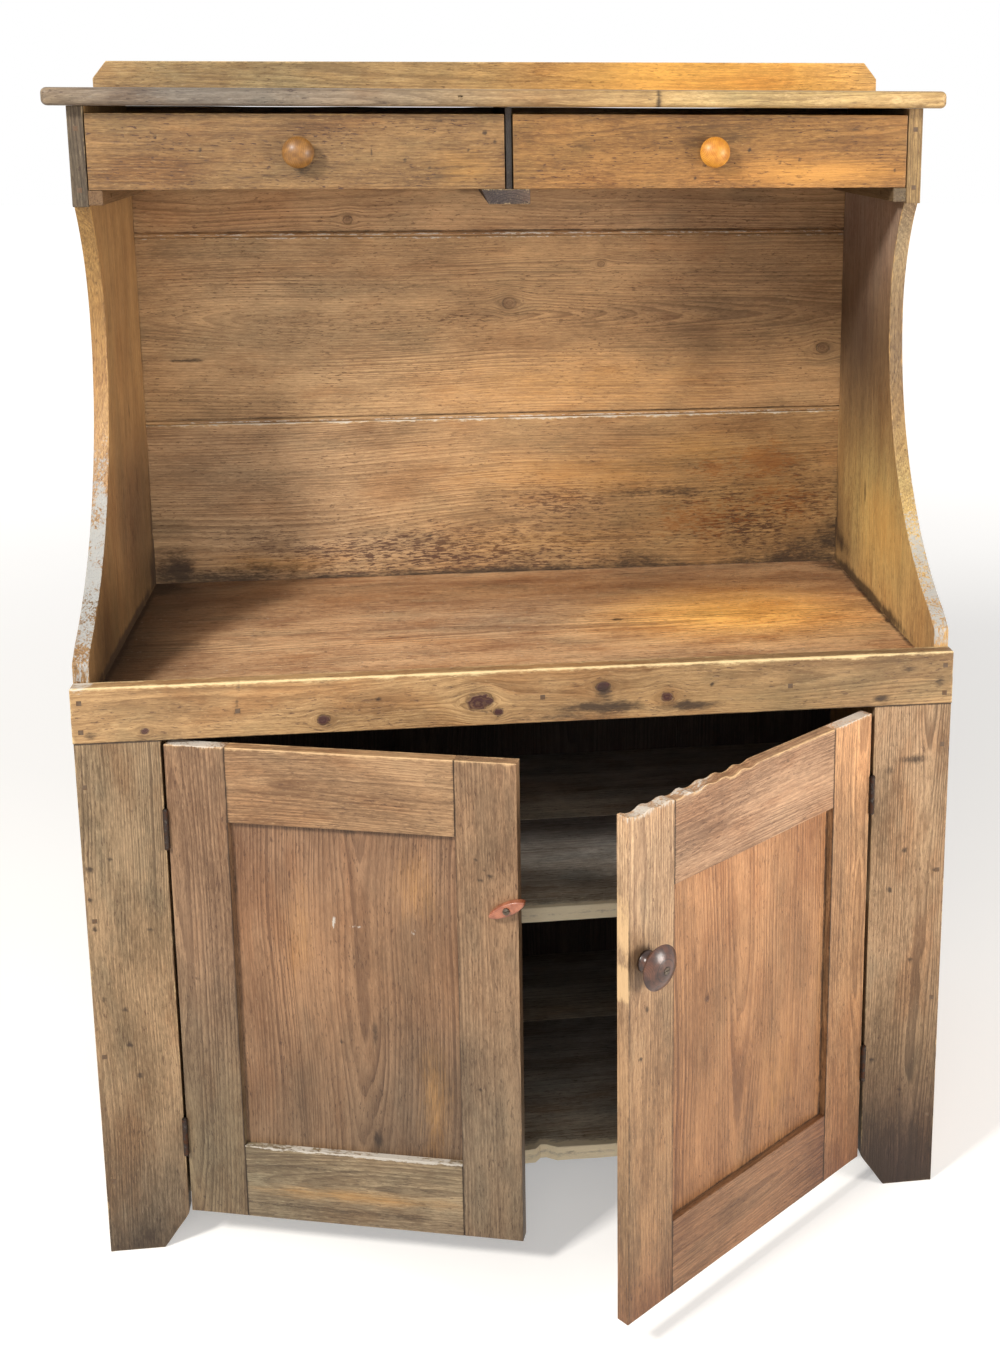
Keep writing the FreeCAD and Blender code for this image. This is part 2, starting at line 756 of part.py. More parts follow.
# --- Cut nails ------------------------------------------------------------------------------------
def nail(x, y, z, axis, sign):
    """A square cut nail with its head flush at a point. It runs along an axis in the direction of sign."""

    def bar(width, length):
        low = [-width / 2] * 3
        high = [width / 2] * 3
        low[axis] = min(0, sign * length)
        high[axis] = max(0, sign * length)
        return block(x + low[0], x + high[0], y + low[1], y + high[1], z + low[2], z + high[2])

    return bar(nail_head_width, nail_head_thickness).fuse(bar(nail_width, nail_length)).removeSplitter()


def case_nails():
    """Every nail of the case: through the face frame, the strips, the top, the runners and the back."""
    edge = half_width - side_thickness / 2
    lap = inner_half + back_rabbet / 2
    nails = []
    back_joints = (well_underside, back_low_joint, back_high_joint, back_top)
    runner_middle = runner_top - runner_height / 2
    nail_front = upper_setback + top_nail_front_inset
    nail_back = case_depth - top_nail_back_inset
    runner_depths = (nail_front, back_front - runner_nail_back_inset)
    for side in (-1, 1):
        for height in (*frame_nail_heights, rim_bottom + rim_nail_rise, rim_top - rim_nail_drop):
            nails.append(nail(side * edge, 0, height, 1, 1))
        for height in (drawer_bottom, drawer_top - strip_nail_drop):
            nails.append(nail(side * edge, upper_setback, height, 1, 1))
        for depth in (nail_front, (nail_front + nail_back) / 2, nail_back):
            nails.append(nail(side * edge, depth, top_upper, 2, -1))
        for depth in runner_depths:
            nails.append(nail(side * (inner_half - runner_width), depth, runner_middle, 0, side))
        for low, high in zip(back_joints[:-1], back_joints[1:]):
            inset = back_nail_share * (high - low)
            for height in (low + inset, high - inset):
                nails.append(nail(side * lap, case_depth, height, 1, -1))
    for x in well_nail_places:
        nails.append(nail(x, 0, well_top - well_board_thickness / 2, 1, 1))
    for depth in runner_depths:
        nails.append(nail(divider_x, depth, top_upper, 2, -1))
        nails.append(nail(divider_x, depth, runner_top - centre_runner_height, 2, 1))
    for x in gallery_nail_places:
        nails.append(nail(x, case_depth - gallery_thickness / 2, case_height, 2, 1))
    nails.append(nail(nosing_nail_x, top_front, case_height + nosing_nail_rise, 1, 1))
    levels = (
        bottom_shelf_top - shelf_thickness / 2,
        middle_shelf_top - shelf_thickness / 2,
        well_top - well_board_thickness / 2,
    )
    for left, right in plank_spans():
        for x in (left + plank_nail_inset, right - plank_nail_inset):
            for height in levels:
                nails.append(nail(x, case_depth, height, 1, -1))
    return nails


def plank_spans():
    """Left and right edges of the upright planks, between the rebates of the two sides."""
    joints = [plank_joint_x - plank_width, plank_joint_x, plank_joint_x + plank_width]
    edges = [-back_half] + joints + [back_half]
    return list(zip(edges[:-1], edges[1:]))


def pierced(shape, fasteners):
    """The piece with holes for the fasteners that pass through it."""
    for fastener in fasteners:
        if shape.BoundBox.intersect(fastener.BoundBox):
            shape = shape.cut(fastener)
    return shape


# --- Putting it together --------------------------------------------------------------------------
def case_pieces():
    nails = case_nails()
    screws = []
    screw_holes = []
    leaves = []
    pins = []
    for side, heights in ((-1, left_hinge_heights), (1, right_hinge_heights)):
        for height in heights:
            leaves.append(hinge_leaf(side, height, False))
            pins.append(hinge_pin(side, height))
            screws += hinge_screws(side, height, False)
            screw_holes += hinge_screws(side, height, False, dowel_fit)
    left_side = side_left()
    strip = drawer_strip_left()
    runner = side_runner_left()
    middle_split = frame_thickness + middle_front_board
    bottom_split = frame_thickness + bottom_front_board
    boards = {
        "side_left": left_side,
        "side_right": mirrored(left_side),
        "stile_left": stile_left(),
        "stile_right": stile_right(),
        "rim_rail": rim_rail(),
        "well_floor": shelf_board(well_top, well_board_thickness, frame_thickness, back_front),
        "middle_shelf_front": shelf_board(middle_shelf_top, shelf_thickness, frame_thickness, middle_split),
        "middle_shelf_back": shelf_board(middle_shelf_top, shelf_thickness, middle_split, back_front),
        "bottom_shelf_front": shelf_board(bottom_shelf_top, shelf_thickness, frame_thickness, bottom_split),
        "bottom_shelf_back": shelf_board(bottom_shelf_top, shelf_thickness, bottom_split, back_front),
        "back_board_lower": back_board(well_underside, back_low_joint, False, True),
        "back_board_middle": back_board(back_low_joint, back_high_joint, True, True),
        "back_board_upper": back_board(back_high_joint, back_top, True, False),
        "top_board": top_board(),
        "gallery_board": gallery_board(),
        "drawer_strip_left": strip,
        "drawer_strip_right": mirrored(strip),
        "drawer_divider": drawer_divider(),
        "centre_runner": centre_runner(),
        "side_runner_left": runner,
        "side_runner_right": mirrored(runner),
    }
    for number, (left, right) in enumerate(plank_spans(), start=1):
        boards["lower_back_plank_%d" % number] = lower_back_plank(left, right)
    pieces = {name: pierced(shape, nails + screw_holes) for name, shape in boards.items()}
    pieces["case_nails"] = Part.makeCompound(nails)
    pieces["case_hinge_leaves"] = Part.makeCompound(leaves)
    pieces["case_hinge_screws"] = Part.makeCompound(screws)
    pieces["hinge_pins"] = Part.makeCompound(pins)
    return pieces


def door_pieces(side, name, width, rise, top_rail, bottom_rail, heights):
    """One door with its hinge leaves and their screws, closed."""
    pieces = door(side, width, rise, top_rail, bottom_rail)
    leaves = []
    screws = []
    stile = pieces["hinge_stile"]
    for height in heights:
        low = height - hinge_length / 2
        stile = stile.cut(door_block(side, 0, leaf_thickness, 0, leaf_depth, low, low + hinge_length))
        for hole in hinge_screws(side, height, True, dowel_fit):
            stile = stile.cut(hole)
        leaves.append(hinge_leaf(side, height, True))
        screws += hinge_screws(side, height, True)
    pieces["hinge_stile"] = stile
    pieces["hinge_leaves"] = Part.makeCompound(leaves)
    pieces["hinge_screws"] = Part.makeCompound(screws)
    return {"%s_door_%s" % (name, piece): shape for piece, shape in pieces.items()}


def left_door_pieces():
    edge = -opening_half + hinge_gap
    free = meeting_x - meeting_gap / 2
    pieces = door_pieces(
        -1, "left", free - edge, left_door_rise, left_top_rail, left_bottom_rail, left_hinge_heights
    )
    screw_x = free - button_edge_distance
    stile = pieces["left_door_lock_stile"]
    hole = rod(screw_x, 0, button_height, screw_radius + dowel_fit, screw_depth, BACKWARD)
    pieces["left_door_lock_stile"] = stile.cut(hole)
    seat = button_thickness + 2 * running_gap
    screw = slotted_screw(seat, screw_depth)
    screw.rotate(FreeCAD.Vector(0, 0, 0), BACKWARD, -button_tilt)
    pieces["turn_button_screw"] = moved(screw, screw_x, 0, button_height)
    return pieces


def turn_button_pieces():
    button = turn_button()
    button.rotate(FreeCAD.Vector(0, 0, 0), BACKWARD, -button_tilt)
    screw_x = meeting_x - meeting_gap / 2 - button_edge_distance
    return {"turn_button": moved(button, screw_x, 0, button_height)}


def right_door_pieces():
    edge = opening_half - hinge_gap
    free = meeting_x + meeting_gap / 2
    width = edge - free
    pieces = door_pieces(
        1, "right", width, right_door_rise, right_top_rail, right_bottom_rail, right_hinge_heights
    )
    crest = right_door_rise + door_height
    for name in ("right_door_lock_stile", "right_door_top_rail"):
        pieces[name] = gnawed(pieces[name], width, crest)
    knob_x = free + door_knob_edge_distance
    hole = rod(knob_x, 0, door_knob_height, screw_radius + dowel_fit, screw_depth, BACKWARD)
    pieces["right_door_lock_stile"] = pieces["right_door_lock_stile"].cut(hole)
    pieces["right_door_knob"] = moved(door_knob(), knob_x, 0, door_knob_height)
    screw = slotted_screw(door_knob_length - screw_head_height, screw_depth)
    pieces["right_door_knob_screw"] = moved(screw, knob_x, 0, door_knob_height)
    return pieces


def drawer_pieces():
    half = divider_thickness / 2
    spaces = {
        "left_drawer": (-inner_half, divider_x - half),
        "right_drawer": (divider_x + half, inner_half),
    }
    pieces = {}
    for name, (left, right) in spaces.items():
        for piece, shape in drawer(left, right).items():
            pieces["%s_%s" % (name, piece)] = shape
    return pieces


def opened(pieces, axis_x, angle):
    """Door pieces swung open about their hinge pins."""
    for shape in pieces.values():
        shape.rotate(FreeCAD.Vector(axis_x, axis_y, 0), UPWARD, angle)
    return pieces


def whole_cabinet():
    pieces = case_pieces()
    pieces.update(drawer_pieces())
    pieces.update(opened(left_door_pieces(), left_axis_x, -left_door_angle))
    pieces.update(opened(turn_button_pieces(), left_axis_x, -left_door_angle))
    pieces.update(opened(right_door_pieces(), right_axis_x, right_door_angle))
    return pieces


def middle_of_depth(pieces):
    """Y halfway between the foremost piece and the back of the case."""
    front = min(shape.optimalBoundingBox(False).YMin for shape in pieces.values())
    back = max(shape.optimalBoundingBox(False).YMax for shape in pieces.values())
    return (front + back) / 2


cabinet = whole_cabinet()
origin_y = middle_of_depth(cabinet)
os.makedirs("parts", exist_ok=True)
for node_name, node_shape in cabinet.items():
    node_shape.translate(FreeCAD.Vector(0, -origin_y, 0))
    node_shape.exportStep("parts/%s.step" % node_name)
print("%d pieces, origin %.3f mm behind the face frame" % (len(cabinet), origin_y))
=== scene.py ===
# %% [markdown]
# # A dry sink cabinet in old pine
# The solids of the cabinet are loaded first and stay where they are. Every board that shows is then made
# again as a surface with soft worn edges, and gets a finish that knows how its wood grew. The small iron
# parts stay as solids.

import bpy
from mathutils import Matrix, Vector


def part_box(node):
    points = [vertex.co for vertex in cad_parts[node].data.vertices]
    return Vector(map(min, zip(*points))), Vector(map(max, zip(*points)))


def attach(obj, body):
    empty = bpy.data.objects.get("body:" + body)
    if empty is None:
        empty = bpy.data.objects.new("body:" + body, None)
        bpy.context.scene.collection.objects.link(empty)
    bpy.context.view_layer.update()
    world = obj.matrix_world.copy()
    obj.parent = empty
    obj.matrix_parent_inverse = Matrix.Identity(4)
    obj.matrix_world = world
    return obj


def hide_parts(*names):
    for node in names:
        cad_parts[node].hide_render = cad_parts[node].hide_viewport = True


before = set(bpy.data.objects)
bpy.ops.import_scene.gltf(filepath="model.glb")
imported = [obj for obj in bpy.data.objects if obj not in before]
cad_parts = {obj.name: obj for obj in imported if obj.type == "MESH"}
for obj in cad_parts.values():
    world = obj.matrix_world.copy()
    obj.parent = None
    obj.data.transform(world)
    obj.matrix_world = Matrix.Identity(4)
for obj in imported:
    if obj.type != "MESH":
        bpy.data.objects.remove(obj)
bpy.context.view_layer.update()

# %% Tools
import math
from functools import partialmethod

import bpy
import numpy as np
from mathutils import Vector

# %% [markdown]
# ## Main lengths
# All lengths are in millimetres: x to the right from the cabinet's middle, y back from the front of the face
# frame, and z up from the floor.

# %% Main lengths
MM = 0.001
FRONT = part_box("rim_rail")[0][1] / MM      # where y = 0 lies in the loaded cabinet
CASE, INSIDE = 590, 569                    # half the width over the sides and between them
FRAME = 24                                 # the face frame's thickness
BACK_FACE, BACK = 588, 606                 # the front and the rear of the back boards
WELL, WELL_FLOOR, RIM = 776, 796, 826      # underside and top of the well's floor, top of the rim
DRAWER_FACE = 233                          # how far back the drawers' fronts lie
UNDER_TOP, ON_TOP = 1561, 1585             # underside and upper side of the top board
TOP_END = 617.5                            # half the width of the top board
print("front of the face frame at y = %.2f mm" % FRONT)

# %% [markdown]
# ## Camera
# The cabinet is seen from above standing height, a little from the left. The lens is a long one, and the
# picture is a part of a wider one, so the camera keeps a small sideways and upward shift.

# %% Camera
camera = bpy.data.objects.new("camera", bpy.data.cameras.new("camera"))
bpy.context.collection.objects.link(camera)
camera.location = (-0.12858, -2.25067, 1.56161)
camera.rotation_euler = [math.radians(angle) for angle in (77.87, -0.19, -8.0)]
camera.data.lens = 43.53
camera.data.shift_x = (500 - 653.49) / 1369
camera.data.shift_y = (462.89 - 684.5) / 1369
bpy.context.scene.camera = camera
print("camera at", [round(value, 2) for value in camera.location])

# %% [markdown]
# ## A closed block with grids on its six sides
# A board is a long block. To let its edges wear and its faces wave, each side needs a grid of points, and the
# six grids must share the points along the block's edges, so that nothing opens. A lattice of all (i, j, k)
# gives this: only the points on its outside are kept.


# %% Block
def block_grid(a, b, c):
    """Points (a_i, b_j, c_k) with i, j or k first or last, and the outward faces between them."""
    ends = [(axis, end) for axis in range(3) for end in (0, -1)]
    sides = [tuple(end if n == axis else slice(None) for n in range(3)) for axis, end in ends]
    outside = np.zeros((len(a), len(b), len(c)), bool)
    for side in sides:
        outside[side] = True
    number = np.full(outside.shape, -1)
    number[outside] = np.arange(outside.sum())
    i, j, k = np.nonzero(outside)
    faces = []
    for side, (axis, end) in zip(sides, ends):
        flat = number[side]
        ring = [flat[:-1, :-1], flat[1:, :-1], flat[1:, 1:], flat[:-1, 1:]]
        if (end == 0) != (axis == 1):
            ring.reverse()
        faces.append(np.stack(ring, axis=-1).reshape(-1, 4))
    return np.stack([a[i], b[j], c[k]], axis=1), np.concatenate(faces)


def lines_between(length, step, edge, extra=()):
    """Grid lines from 0 to length: close together within edge of both ends, elsewhere about step apart."""
    close = edge * np.array([0, .12, .3, .55, .8, 1, 1.35])
    close = close[close < length / 2 - 1e-6]
    inner = np.linspace(close[-1], length - close[-1], max(2, round((length - 2 * close[-1]) / step) + 1))
    places = np.unique(np.round(np.concatenate([close, length - close, inner, np.asarray(extra, float)]), 4))
    return places[np.concatenate([[True], np.diff(places) > 1e-3])]


# %% [markdown]
# ## Unevenness
# Hand-planed boards are never flat. A few sine waves in random directions give a smooth unevenness that is
# the same on every run, because the random numbers start from a fixed seed.


# %% Waves
def waves(points, size, seed, count=9):
    """Smooth values of about -1 to 1: the mean of sines of point . direction / size, in random directions."""
    random = np.random.default_rng(seed)
    turns = random.normal(size=(3, count)) * math.pi / size
    return np.sin(points @ turns + random.uniform(0, 6.283, count)).mean(axis=1) * 1.7


def waves_along(x, size, seed):
    """The same waves for places on a line."""
    return waves(np.stack([x, 0 * x, 0 * x], axis=1), size, seed)


def smooth(value, start, end):
    """0 up to start, 1 from end on, and 3s^2 - 2s^3 between them."""
    share = np.clip((value - start) / (end - start), 0, 1)
    return share * share * (3 - 2 * share)


# %% [markdown]
# ## Worn edges
# The corners of a block are rounded by pulling each point towards a smaller block inside it, and then out
# again by the radius. The radius may differ from place to place, so an edge that many hands have touched is
# rounder.


# %% Rounding
def soften(points, size, radius):
    """Each point p moves to q + radius (p - q) / |p - q|, with q held inside the block less the radius."""
    half = size / 2
    centred = points - half
    room = np.maximum(half[None, :] - radius[:, None], 1e-4)
    held = np.clip(centred, -room, room)
    away = centred - held
    length = np.linalg.norm(away, axis=1, keepdims=True)
    reach = np.minimum(radius[:, None], half.min())
    return held + away / np.maximum(length, 1e-9) * reach + half


# %% [markdown]
# ## A mesh from arrays
# The points and faces go into Blender as whole arrays, which is quick even for many thousands of them. Values
# that the finishes need, such as the place in the tree, are stored on the points too.


# %% Mesh
def surface(name, points, faces, values=None):
    """A smooth mesh in metres from points in millimetres. faces is an array or a list of arrays."""
    faces = faces if isinstance(faces, list) else [faces]
    corners = np.concatenate([part.ravel() for part in faces])
    counts = np.concatenate([np.full(len(part), part.shape[1]) for part in faces])
    mesh = bpy.data.meshes.new(name)
    mesh.vertices.add(len(points))
    mesh.vertices.foreach_set("co", (points * MM).ravel())
    mesh.loops.add(len(corners))
    mesh.loops.foreach_set("vertex_index", corners)
    mesh.polygons.add(len(counts))
    mesh.polygons.foreach_set("loop_start", np.concatenate([[0], np.cumsum(counts)[:-1]]))
    mesh.update(calc_edges=True)
    mesh.validate()
    for key, value in (values or {}).items():
        kind, field = ("FLOAT_VECTOR", "vector") if value.ndim == 2 else ("FLOAT", "value")
        layer = mesh.attributes.new(key, kind, "POINT")
        layer.data.foreach_set(field, value.astype(np.float32).ravel())
    mesh.polygons.foreach_set("use_smooth", np.ones(len(counts), bool))
    mesh.set_sharp_from_angle(angle=math.radians(50))
    piece = bpy.data.objects.new(name, mesh)
    bpy.context.collection.objects.link(piece)
    return piece


def fitted(piece, material, node, body):
    """Gives a piece its finish, and lets it ride on a body and stand for one of that body's nodes."""
    piece.data.materials.append(material)
    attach(piece, body)
    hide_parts(node)
    return piece


# %% [markdown]
# ## Doors stand open
# A door is made as if it were shut, and is then turned about the pins of its hinges by the angle at which it
# stands. Along the door, u runs from the hinge edge to the free edge.

# %% Door places
HINGE_X, HINGE_Y = 479.5, -3.6
HUNG = 478                                 # half the width of the opening, where u starts
OPENED = {"left": math.radians(-15.7), "right": math.radians(38.3)}


def in_row(points, door=None):
    """Points of the case, or of a shut door turned about its hinge by its angle, in the loaded frame."""
    if door:
        pin = np.array([HINGE_X * (-1 if door == "left" else 1), HINGE_Y, 0])
        cos, sin = math.cos(OPENED[door]), math.sin(OPENED[door])
        points = (points - pin) @ np.array([[cos, -sin, 0], [sin, cos, 0], [0, 0, 1]]).T + pin
    return points + np.array([0, FRONT, 0])


def placed(local, axes, door=None):
    """Local (l, w, t) put on the axes with these letters: x, y, z, or u for the way along a door."""
    points = np.zeros_like(local)
    for column, letter in enumerate(axes):
        if letter == "u":
            points[:, 0] = -HUNG + local[:, column] if door == "left" else HUNG - local[:, column]
        else:
            points[:, "xyz".index(letter)] = local[:, column]
    return in_row(points, door)


def is_mirrored(axes, door=None):
    """True where the three axes, in this order, make a left-handed set."""
    odd = axes.replace("u", "x") not in ("xyz", "yzx", "zxy")
    return odd != ("u" in axes and door == "right")


# %% [markdown]
# ## A board
# One function makes every board. It lays out the block, waves and wears it, bends its edges where the board
# is curved, and writes on each point where it lay in the tree (log), how worn, dirty or dusty it is, with
# painted light, shade and highlights among these marks (marks), how mottled, rusty or golden, with painted
# sunlight among the golden patches (stain), how far the next knot is (knot) and how its colour departs from
# the rest, by its own tone and by painted light and shade (tint_and_light).

# %% Edges and spots
# The marks: wear, also painted light on some pale edges; dirt, also painted shade in creases and recesses;
# dust, also painted highlights on beads; mottle; rust; gold, golden patches with painted sunlight among them.
KINDS = ("worn", "dirt_and_shade", "dust_and_highlight", "mottle", "rust", "gold")


def pushed(place, edge, at_start, size, keep):
    """Moves one edge of a board: points within keep of the edge go the whole way, and the far edge stays."""
    away = size - keep - place if at_start else place - keep
    return place + edge * np.clip(away / (size - 2 * keep), 0, 1)


def near(along, across, spot):
    """exp(-distance^2) from a spot (place along, place across, reach along, reach across)."""
    return np.exp(-((along - spot[0]) / spot[2]) ** 2 - ((across - spot[1]) / spot[3]) ** 2)


# %% Board
def board(node, finish, axes, low, high, body="case", door=None, step=(6.0, 6.0), edge=1.2, radius=None,
          low_edge=None, high_edge=None, shape=None, lines_along=(), lines_across=(), seed=1,
          pith=(0.0, -45.0), slope=(0.0, 0.012), knots=(), spots=None, tones=(), edge_tones=(),
          worn=(.6, .6, .6, .6), worn_width=3.5, grimy=(0, 0, 0, 0), wave=0.25, seen=None,
          unseen=(.8, .8, .82), slot=None):
    """A board from low to high (along, across, through), in millimetres, with its grain along the first axis.

    low_edge and high_edge give, for places along the board, how far its two long edges move. shape may
    change the finished local points. spots gives, for a kind of mark, (along, across, reach, reach,
    strength), and tones are (colour, along, across, reach, reach); some of both are painted light and
    painted shade. With seen="low" or "high", both stay off the face on the other side, which takes the
    colour multiplier unseen. edge_tones are (colour, dust, along, reach), for the low edge's narrow face
    alone. worn and grimy are strengths along the two ends and the two long edges; the wear also stands for
    painted light on some pale edges.
    """
    low, high = np.array(low, float), np.array(high, float)
    size = high - low
    nominal, faces = block_grid(lines_between(size[0], step[0], edge, lines_along),
                                lines_between(size[1], step[1], edge, lines_across),
                                lines_between(size[2], 8.0, edge))
    rub = 0.72 + 0.28 * waves(nominal * (1, .3, .3), 60, seed + 5)
    points = soften(nominal, size, edge * np.clip(rub, .3, 1) if radius is None else radius(nominal, rub))
    gaps = np.stack([nominal[:, 0], size[0] - nominal[:, 0], nominal[:, 1], size[1] - nominal[:, 1]], axis=1)
    corner = np.hypot(gaps, np.minimum(nominal[:, 2], size[2] - nominal[:, 2])[:, None])
    inward = wave * (0.5 + 0.5 * waves(nominal * (.35, 1, 1), 55, seed + 9))
    middle = size[2] / 2
    room = smooth(np.minimum(gaps[:, 2], gaps[:, 3]), 0, 12)
    broad = np.abs(points[:, 2] - middle) > middle * .8
    points[:, 2] += np.sign(middle - points[:, 2]) * inward * room * broad
    keep = min(edge * 1.35, size[1] / 3)
    for bend, at_start in ((low_edge, True), (high_edge, False)):
        if bend is not None:
            points[:, 1] = pushed(points[:, 1], bend(points[:, 0] + low[0]), at_start, size[1], keep)
    if shape is not None:
        points = shape(points, nominal)
    local = points + low
    along, across = local[:, 0], local[:, 1]
    # The place in the tree: the lines of the grain swerve round each knot and drift away from the pith.
    bent = across.copy()
    knot = np.full(len(local), 9.0)
    for k_along, k_across, k_radius in knots:
        away_l, away_w = along - k_along, across - k_across
        push = k_radius * 1.15 * np.exp(-(away_l / (2.6 * k_radius)) ** 2 - (away_w / (3.2 * k_radius)) ** 2)
        bent -= push * np.tanh(away_w / (.5 * k_radius))
        knot = np.minimum(knot, np.hypot(away_l / (1.2 * k_radius), away_w / k_radius))
    past = along - low[0]
    slow = local * (1, .2, .2)
    log = np.stack([
        along + seed * 731.0,
        bent - (low[1] + high[1]) / 2 - pith[0] - slope[0] * past + 5 * waves(slow, 420, seed + 2),
        local[:, 2] - low[2] - pith[1] - slope[1] * past + 4 * waves(slow, 500, seed + 3),
    ], axis=1)
    # The marks and tones, painted light, shade and highlights among them.
    marks = {kind: np.zeros(len(local)) for kind in KINDS}
    marks["worn"] = (np.exp(-corner / worn_width) * np.array(worn)).max(axis=1)
    marks["dirt_and_shade"] = (np.exp(-(corner / 1.6) ** 2) * np.array(grimy)).max(axis=1)
    bare = {None: -1.0, "low": size[2], "high": 0.0}[seen]
    shown = (np.abs(nominal[:, 2] - bare) > .01) * 1.0
    for kind, places in (spots or {}).items():
        for *spot, strength in places:
            marks[kind] = np.maximum(marks[kind], strength * shown * near(along, across, spot))
    # The tint: the wood's own tone, and painted light and shade where tones stand for them.
    tint_and_light = np.ones((len(local), 3))
    for colour, *spot in tones:
        share = (shown * near(along, across, spot))[:, None]
        tint_and_light = tint_and_light * (1 - share) + np.array(colour) * tint_and_light * share
    tint_and_light = tint_and_light * np.where(shown[:, None] > 0, 1.0, np.array(unseen))
    for colour, dusted, place, reach in edge_tones:
        share = near(along, gaps[:, 2], (place, 0, reach, 1.2))
        tint_and_light = tint_and_light * (1 + (np.array(colour) - 1) * share[:, None])
        marks["dust_and_highlight"] = np.maximum(marks["dust_and_highlight"], dusted * share)
    marks = np.stack([marks[kind] for kind in KINDS], axis=1)
    values = {"log": log, "marks": marks[:, :3], "stain": marks[:, 3:], "knot": knot, "tint_and_light": tint_and_light}
    if is_mirrored(axes, door):
        faces = faces[:, ::-1]
    piece = surface(node + "_wood", placed(local, axes, door), faces, values)
    return fitted(piece, FINISH[finish], node, "door_" + door if door else body)


# %% [markdown]
# ## Shader sums
# A finish is a sum of many small effects. Written as nodes this is hard to read, so a small class wraps each
# socket: a sum of two such values adds a Math node by itself. Every other node comes from one method.


# %% Shader tools
class Value:
    """A number inside a shader. Its sums, products and powers with numbers or other values are Math nodes."""

    def __init__(self, finish, socket):
        self.finish = finish
        self.socket = socket

    def math(self, operation, *others, clamp=False):
        return self.finish.node("Math", {"operation": operation, "use_clamp": clamp},
                                dict(enumerate((self,) + others)))

    __add__ = __radd__ = partialmethod(math, "ADD")
    __sub__ = partialmethod(math, "SUBTRACT")
    __mul__ = __rmul__ = partialmethod(math, "MULTIPLY")
    __truediv__ = partialmethod(math, "DIVIDE")
    __pow__ = partialmethod(math, "POWER")

    def __rsub__(self, other):
        return self * -1 + other

    def rise(self, start, end, low=0.0, high=1.0):
        """low up to start, high from end on, and a smooth step between them."""
        return self.finish.node("MapRange", {"interpolation_type": "SMOOTHSTEP"},
                                {"Value": self, "From Min": start, "From Max": end, "To Min": low,
                                 "To Max": high})

    def peak(self, middle, width):
        """1 at the middle, falling smoothly to 0 at width from it."""
        return (self - middle).math("ABSOLUTE").rise(0, width, 1.0, 0.0)


# %% Colours
def srgb(red, green, blue):
    """A colour given as 0 to 255 screen values, as the linear numbers that the shader takes."""
    scaled = np.array([red, green, blue]) / 255
    linear = np.where(scaled <= .04045, scaled / 12.92, ((scaled + .055) / 1.055) ** 2.4)
    return tuple(float(value) for value in linear) + (1.0,)


# %% Trees of nodes
class Finish:
    """A tree of shader nodes under construction, for a material or a world."""

    def __init__(self, name, owners="materials"):
        self.owner = getattr(bpy.data, owners).new(name)
        self.owner.use_nodes = True
        self.tree = self.owner.node_tree
        self.tree.nodes.clear()

    def node(self, kind, settings=None, inputs=None, output=0):
        """Adds a node: first its settings, then the values or links of its sockets."""
        made = self.tree.nodes.new("ShaderNode" + kind)
        for key, value in (settings or {}).items():
            setattr(made, key, value)
        for key, value in (inputs or {}).items():
            if isinstance(value, Value):
                self.tree.links.new(value.socket, made.inputs[key])
            else:
                made.inputs[key].default_value = value
        return Value(self, made.outputs[output]) if made.outputs else None

    def stored(self, name, output=1):
        return self.node("Attribute", {"attribute_name": name}, output=output)

    def parts(self, vector):
        split = self.node("SeparateXYZ", inputs={0: vector})
        return [Value(self, socket) for socket in split.socket.node.outputs]

    def vector(self, operation, one, other):
        return self.node("VectorMath", {"operation": operation}, {0: one, 1: other})

    def in_millimetres(self, place):
        return self.node("VectorMath", {"operation": "SCALE"}, {0: place, "Scale": 1000.0})

    def noise(self, place, scale, detail=2.0, roughness=0.5, shift=0.0):
        """Noise of about 0.25 to 0.75 at place * scale + shift. A scale that is left out is the last one."""
        scale = (*scale, scale[-1], scale[-1])[:3]
        moved = self.node("VectorMath", {"operation": "MULTIPLY_ADD"}, {0: place, 1: scale, 2: (shift,) * 3})
        return self.node("TexNoise", {"noise_dimensions": "3D"},
                         {"Vector": moved, "Scale": 1.0, "Detail": detail, "Roughness": roughness})

    def mix(self, share, one, other, blend="MIX"):
        """A colour between two: each comes from a node, as three screen values or as four linear numbers."""
        one, other = (srgb(*tint) if isinstance(tint, tuple) and len(tint) == 3 else tint
                      for tint in (one, other))
        return self.node("Mix", {"data_type": "RGBA", "blend_type": blend, "clamp_factor": True},
                         {0: share, 6: one, 7: other}, output=2)

    def looked_at(self):
        """1 where the camera sees a place straight, in a reflection or through glass."""
        path = self.node("LightPath").socket.node
        seen = Value(self, path.outputs["Is Camera Ray"])
        for kind in ("Glossy", "Transmission"):
            seen = seen.math("MAXIMUM", Value(self, path.outputs["Is %s Ray" % kind]))
        return seen

    def close(self, colour, roughness, height=None, depth=0.0004, strength=1.0, **constants):
        """The surface shader, with its bump, and the constants on its own sockets."""
        inputs = {"Base Color": colour, "Roughness": roughness}
        if height is not None:
            inputs["Normal"] = self.node("Bump", {},
                                         {"Height": height, "Distance": depth, "Strength": strength})
        inputs.update({key.replace("_", " "): value for key, value in constants.items()})
        self.node("OutputMaterial", {}, {"Surface": self.node("BsdfPrincipled", {}, inputs)})
        return self.owner


# %% [markdown]
# ## Old pine
# Pine shows its years: a pale soft band for the spring and a darker hard line for the late summer, ending
# sharply. The distance from the pith of the tree gives the years, and a board is a slice through them, so
# arches, straight lines and end grain all come out right from one formula. Over the years come a patina, fine
# fibres, small resin ticks, beetle holes, pale worn edges, grime and dust. The same layers also carry painted
# light on some pale edges, painted shade in creases and recesses, painted highlights on the beads and pools
# of painted sunlight.

# %% Pine
FINISH = {}
RUST, GILT_AND_SUNLIGHT, HOLE = (138, 82, 32), (214, 156, 80), (26, 18, 14)
REDDER, GREYER = (.82, .70, .61, 1.0), (.74, .80, .84, 1.0)


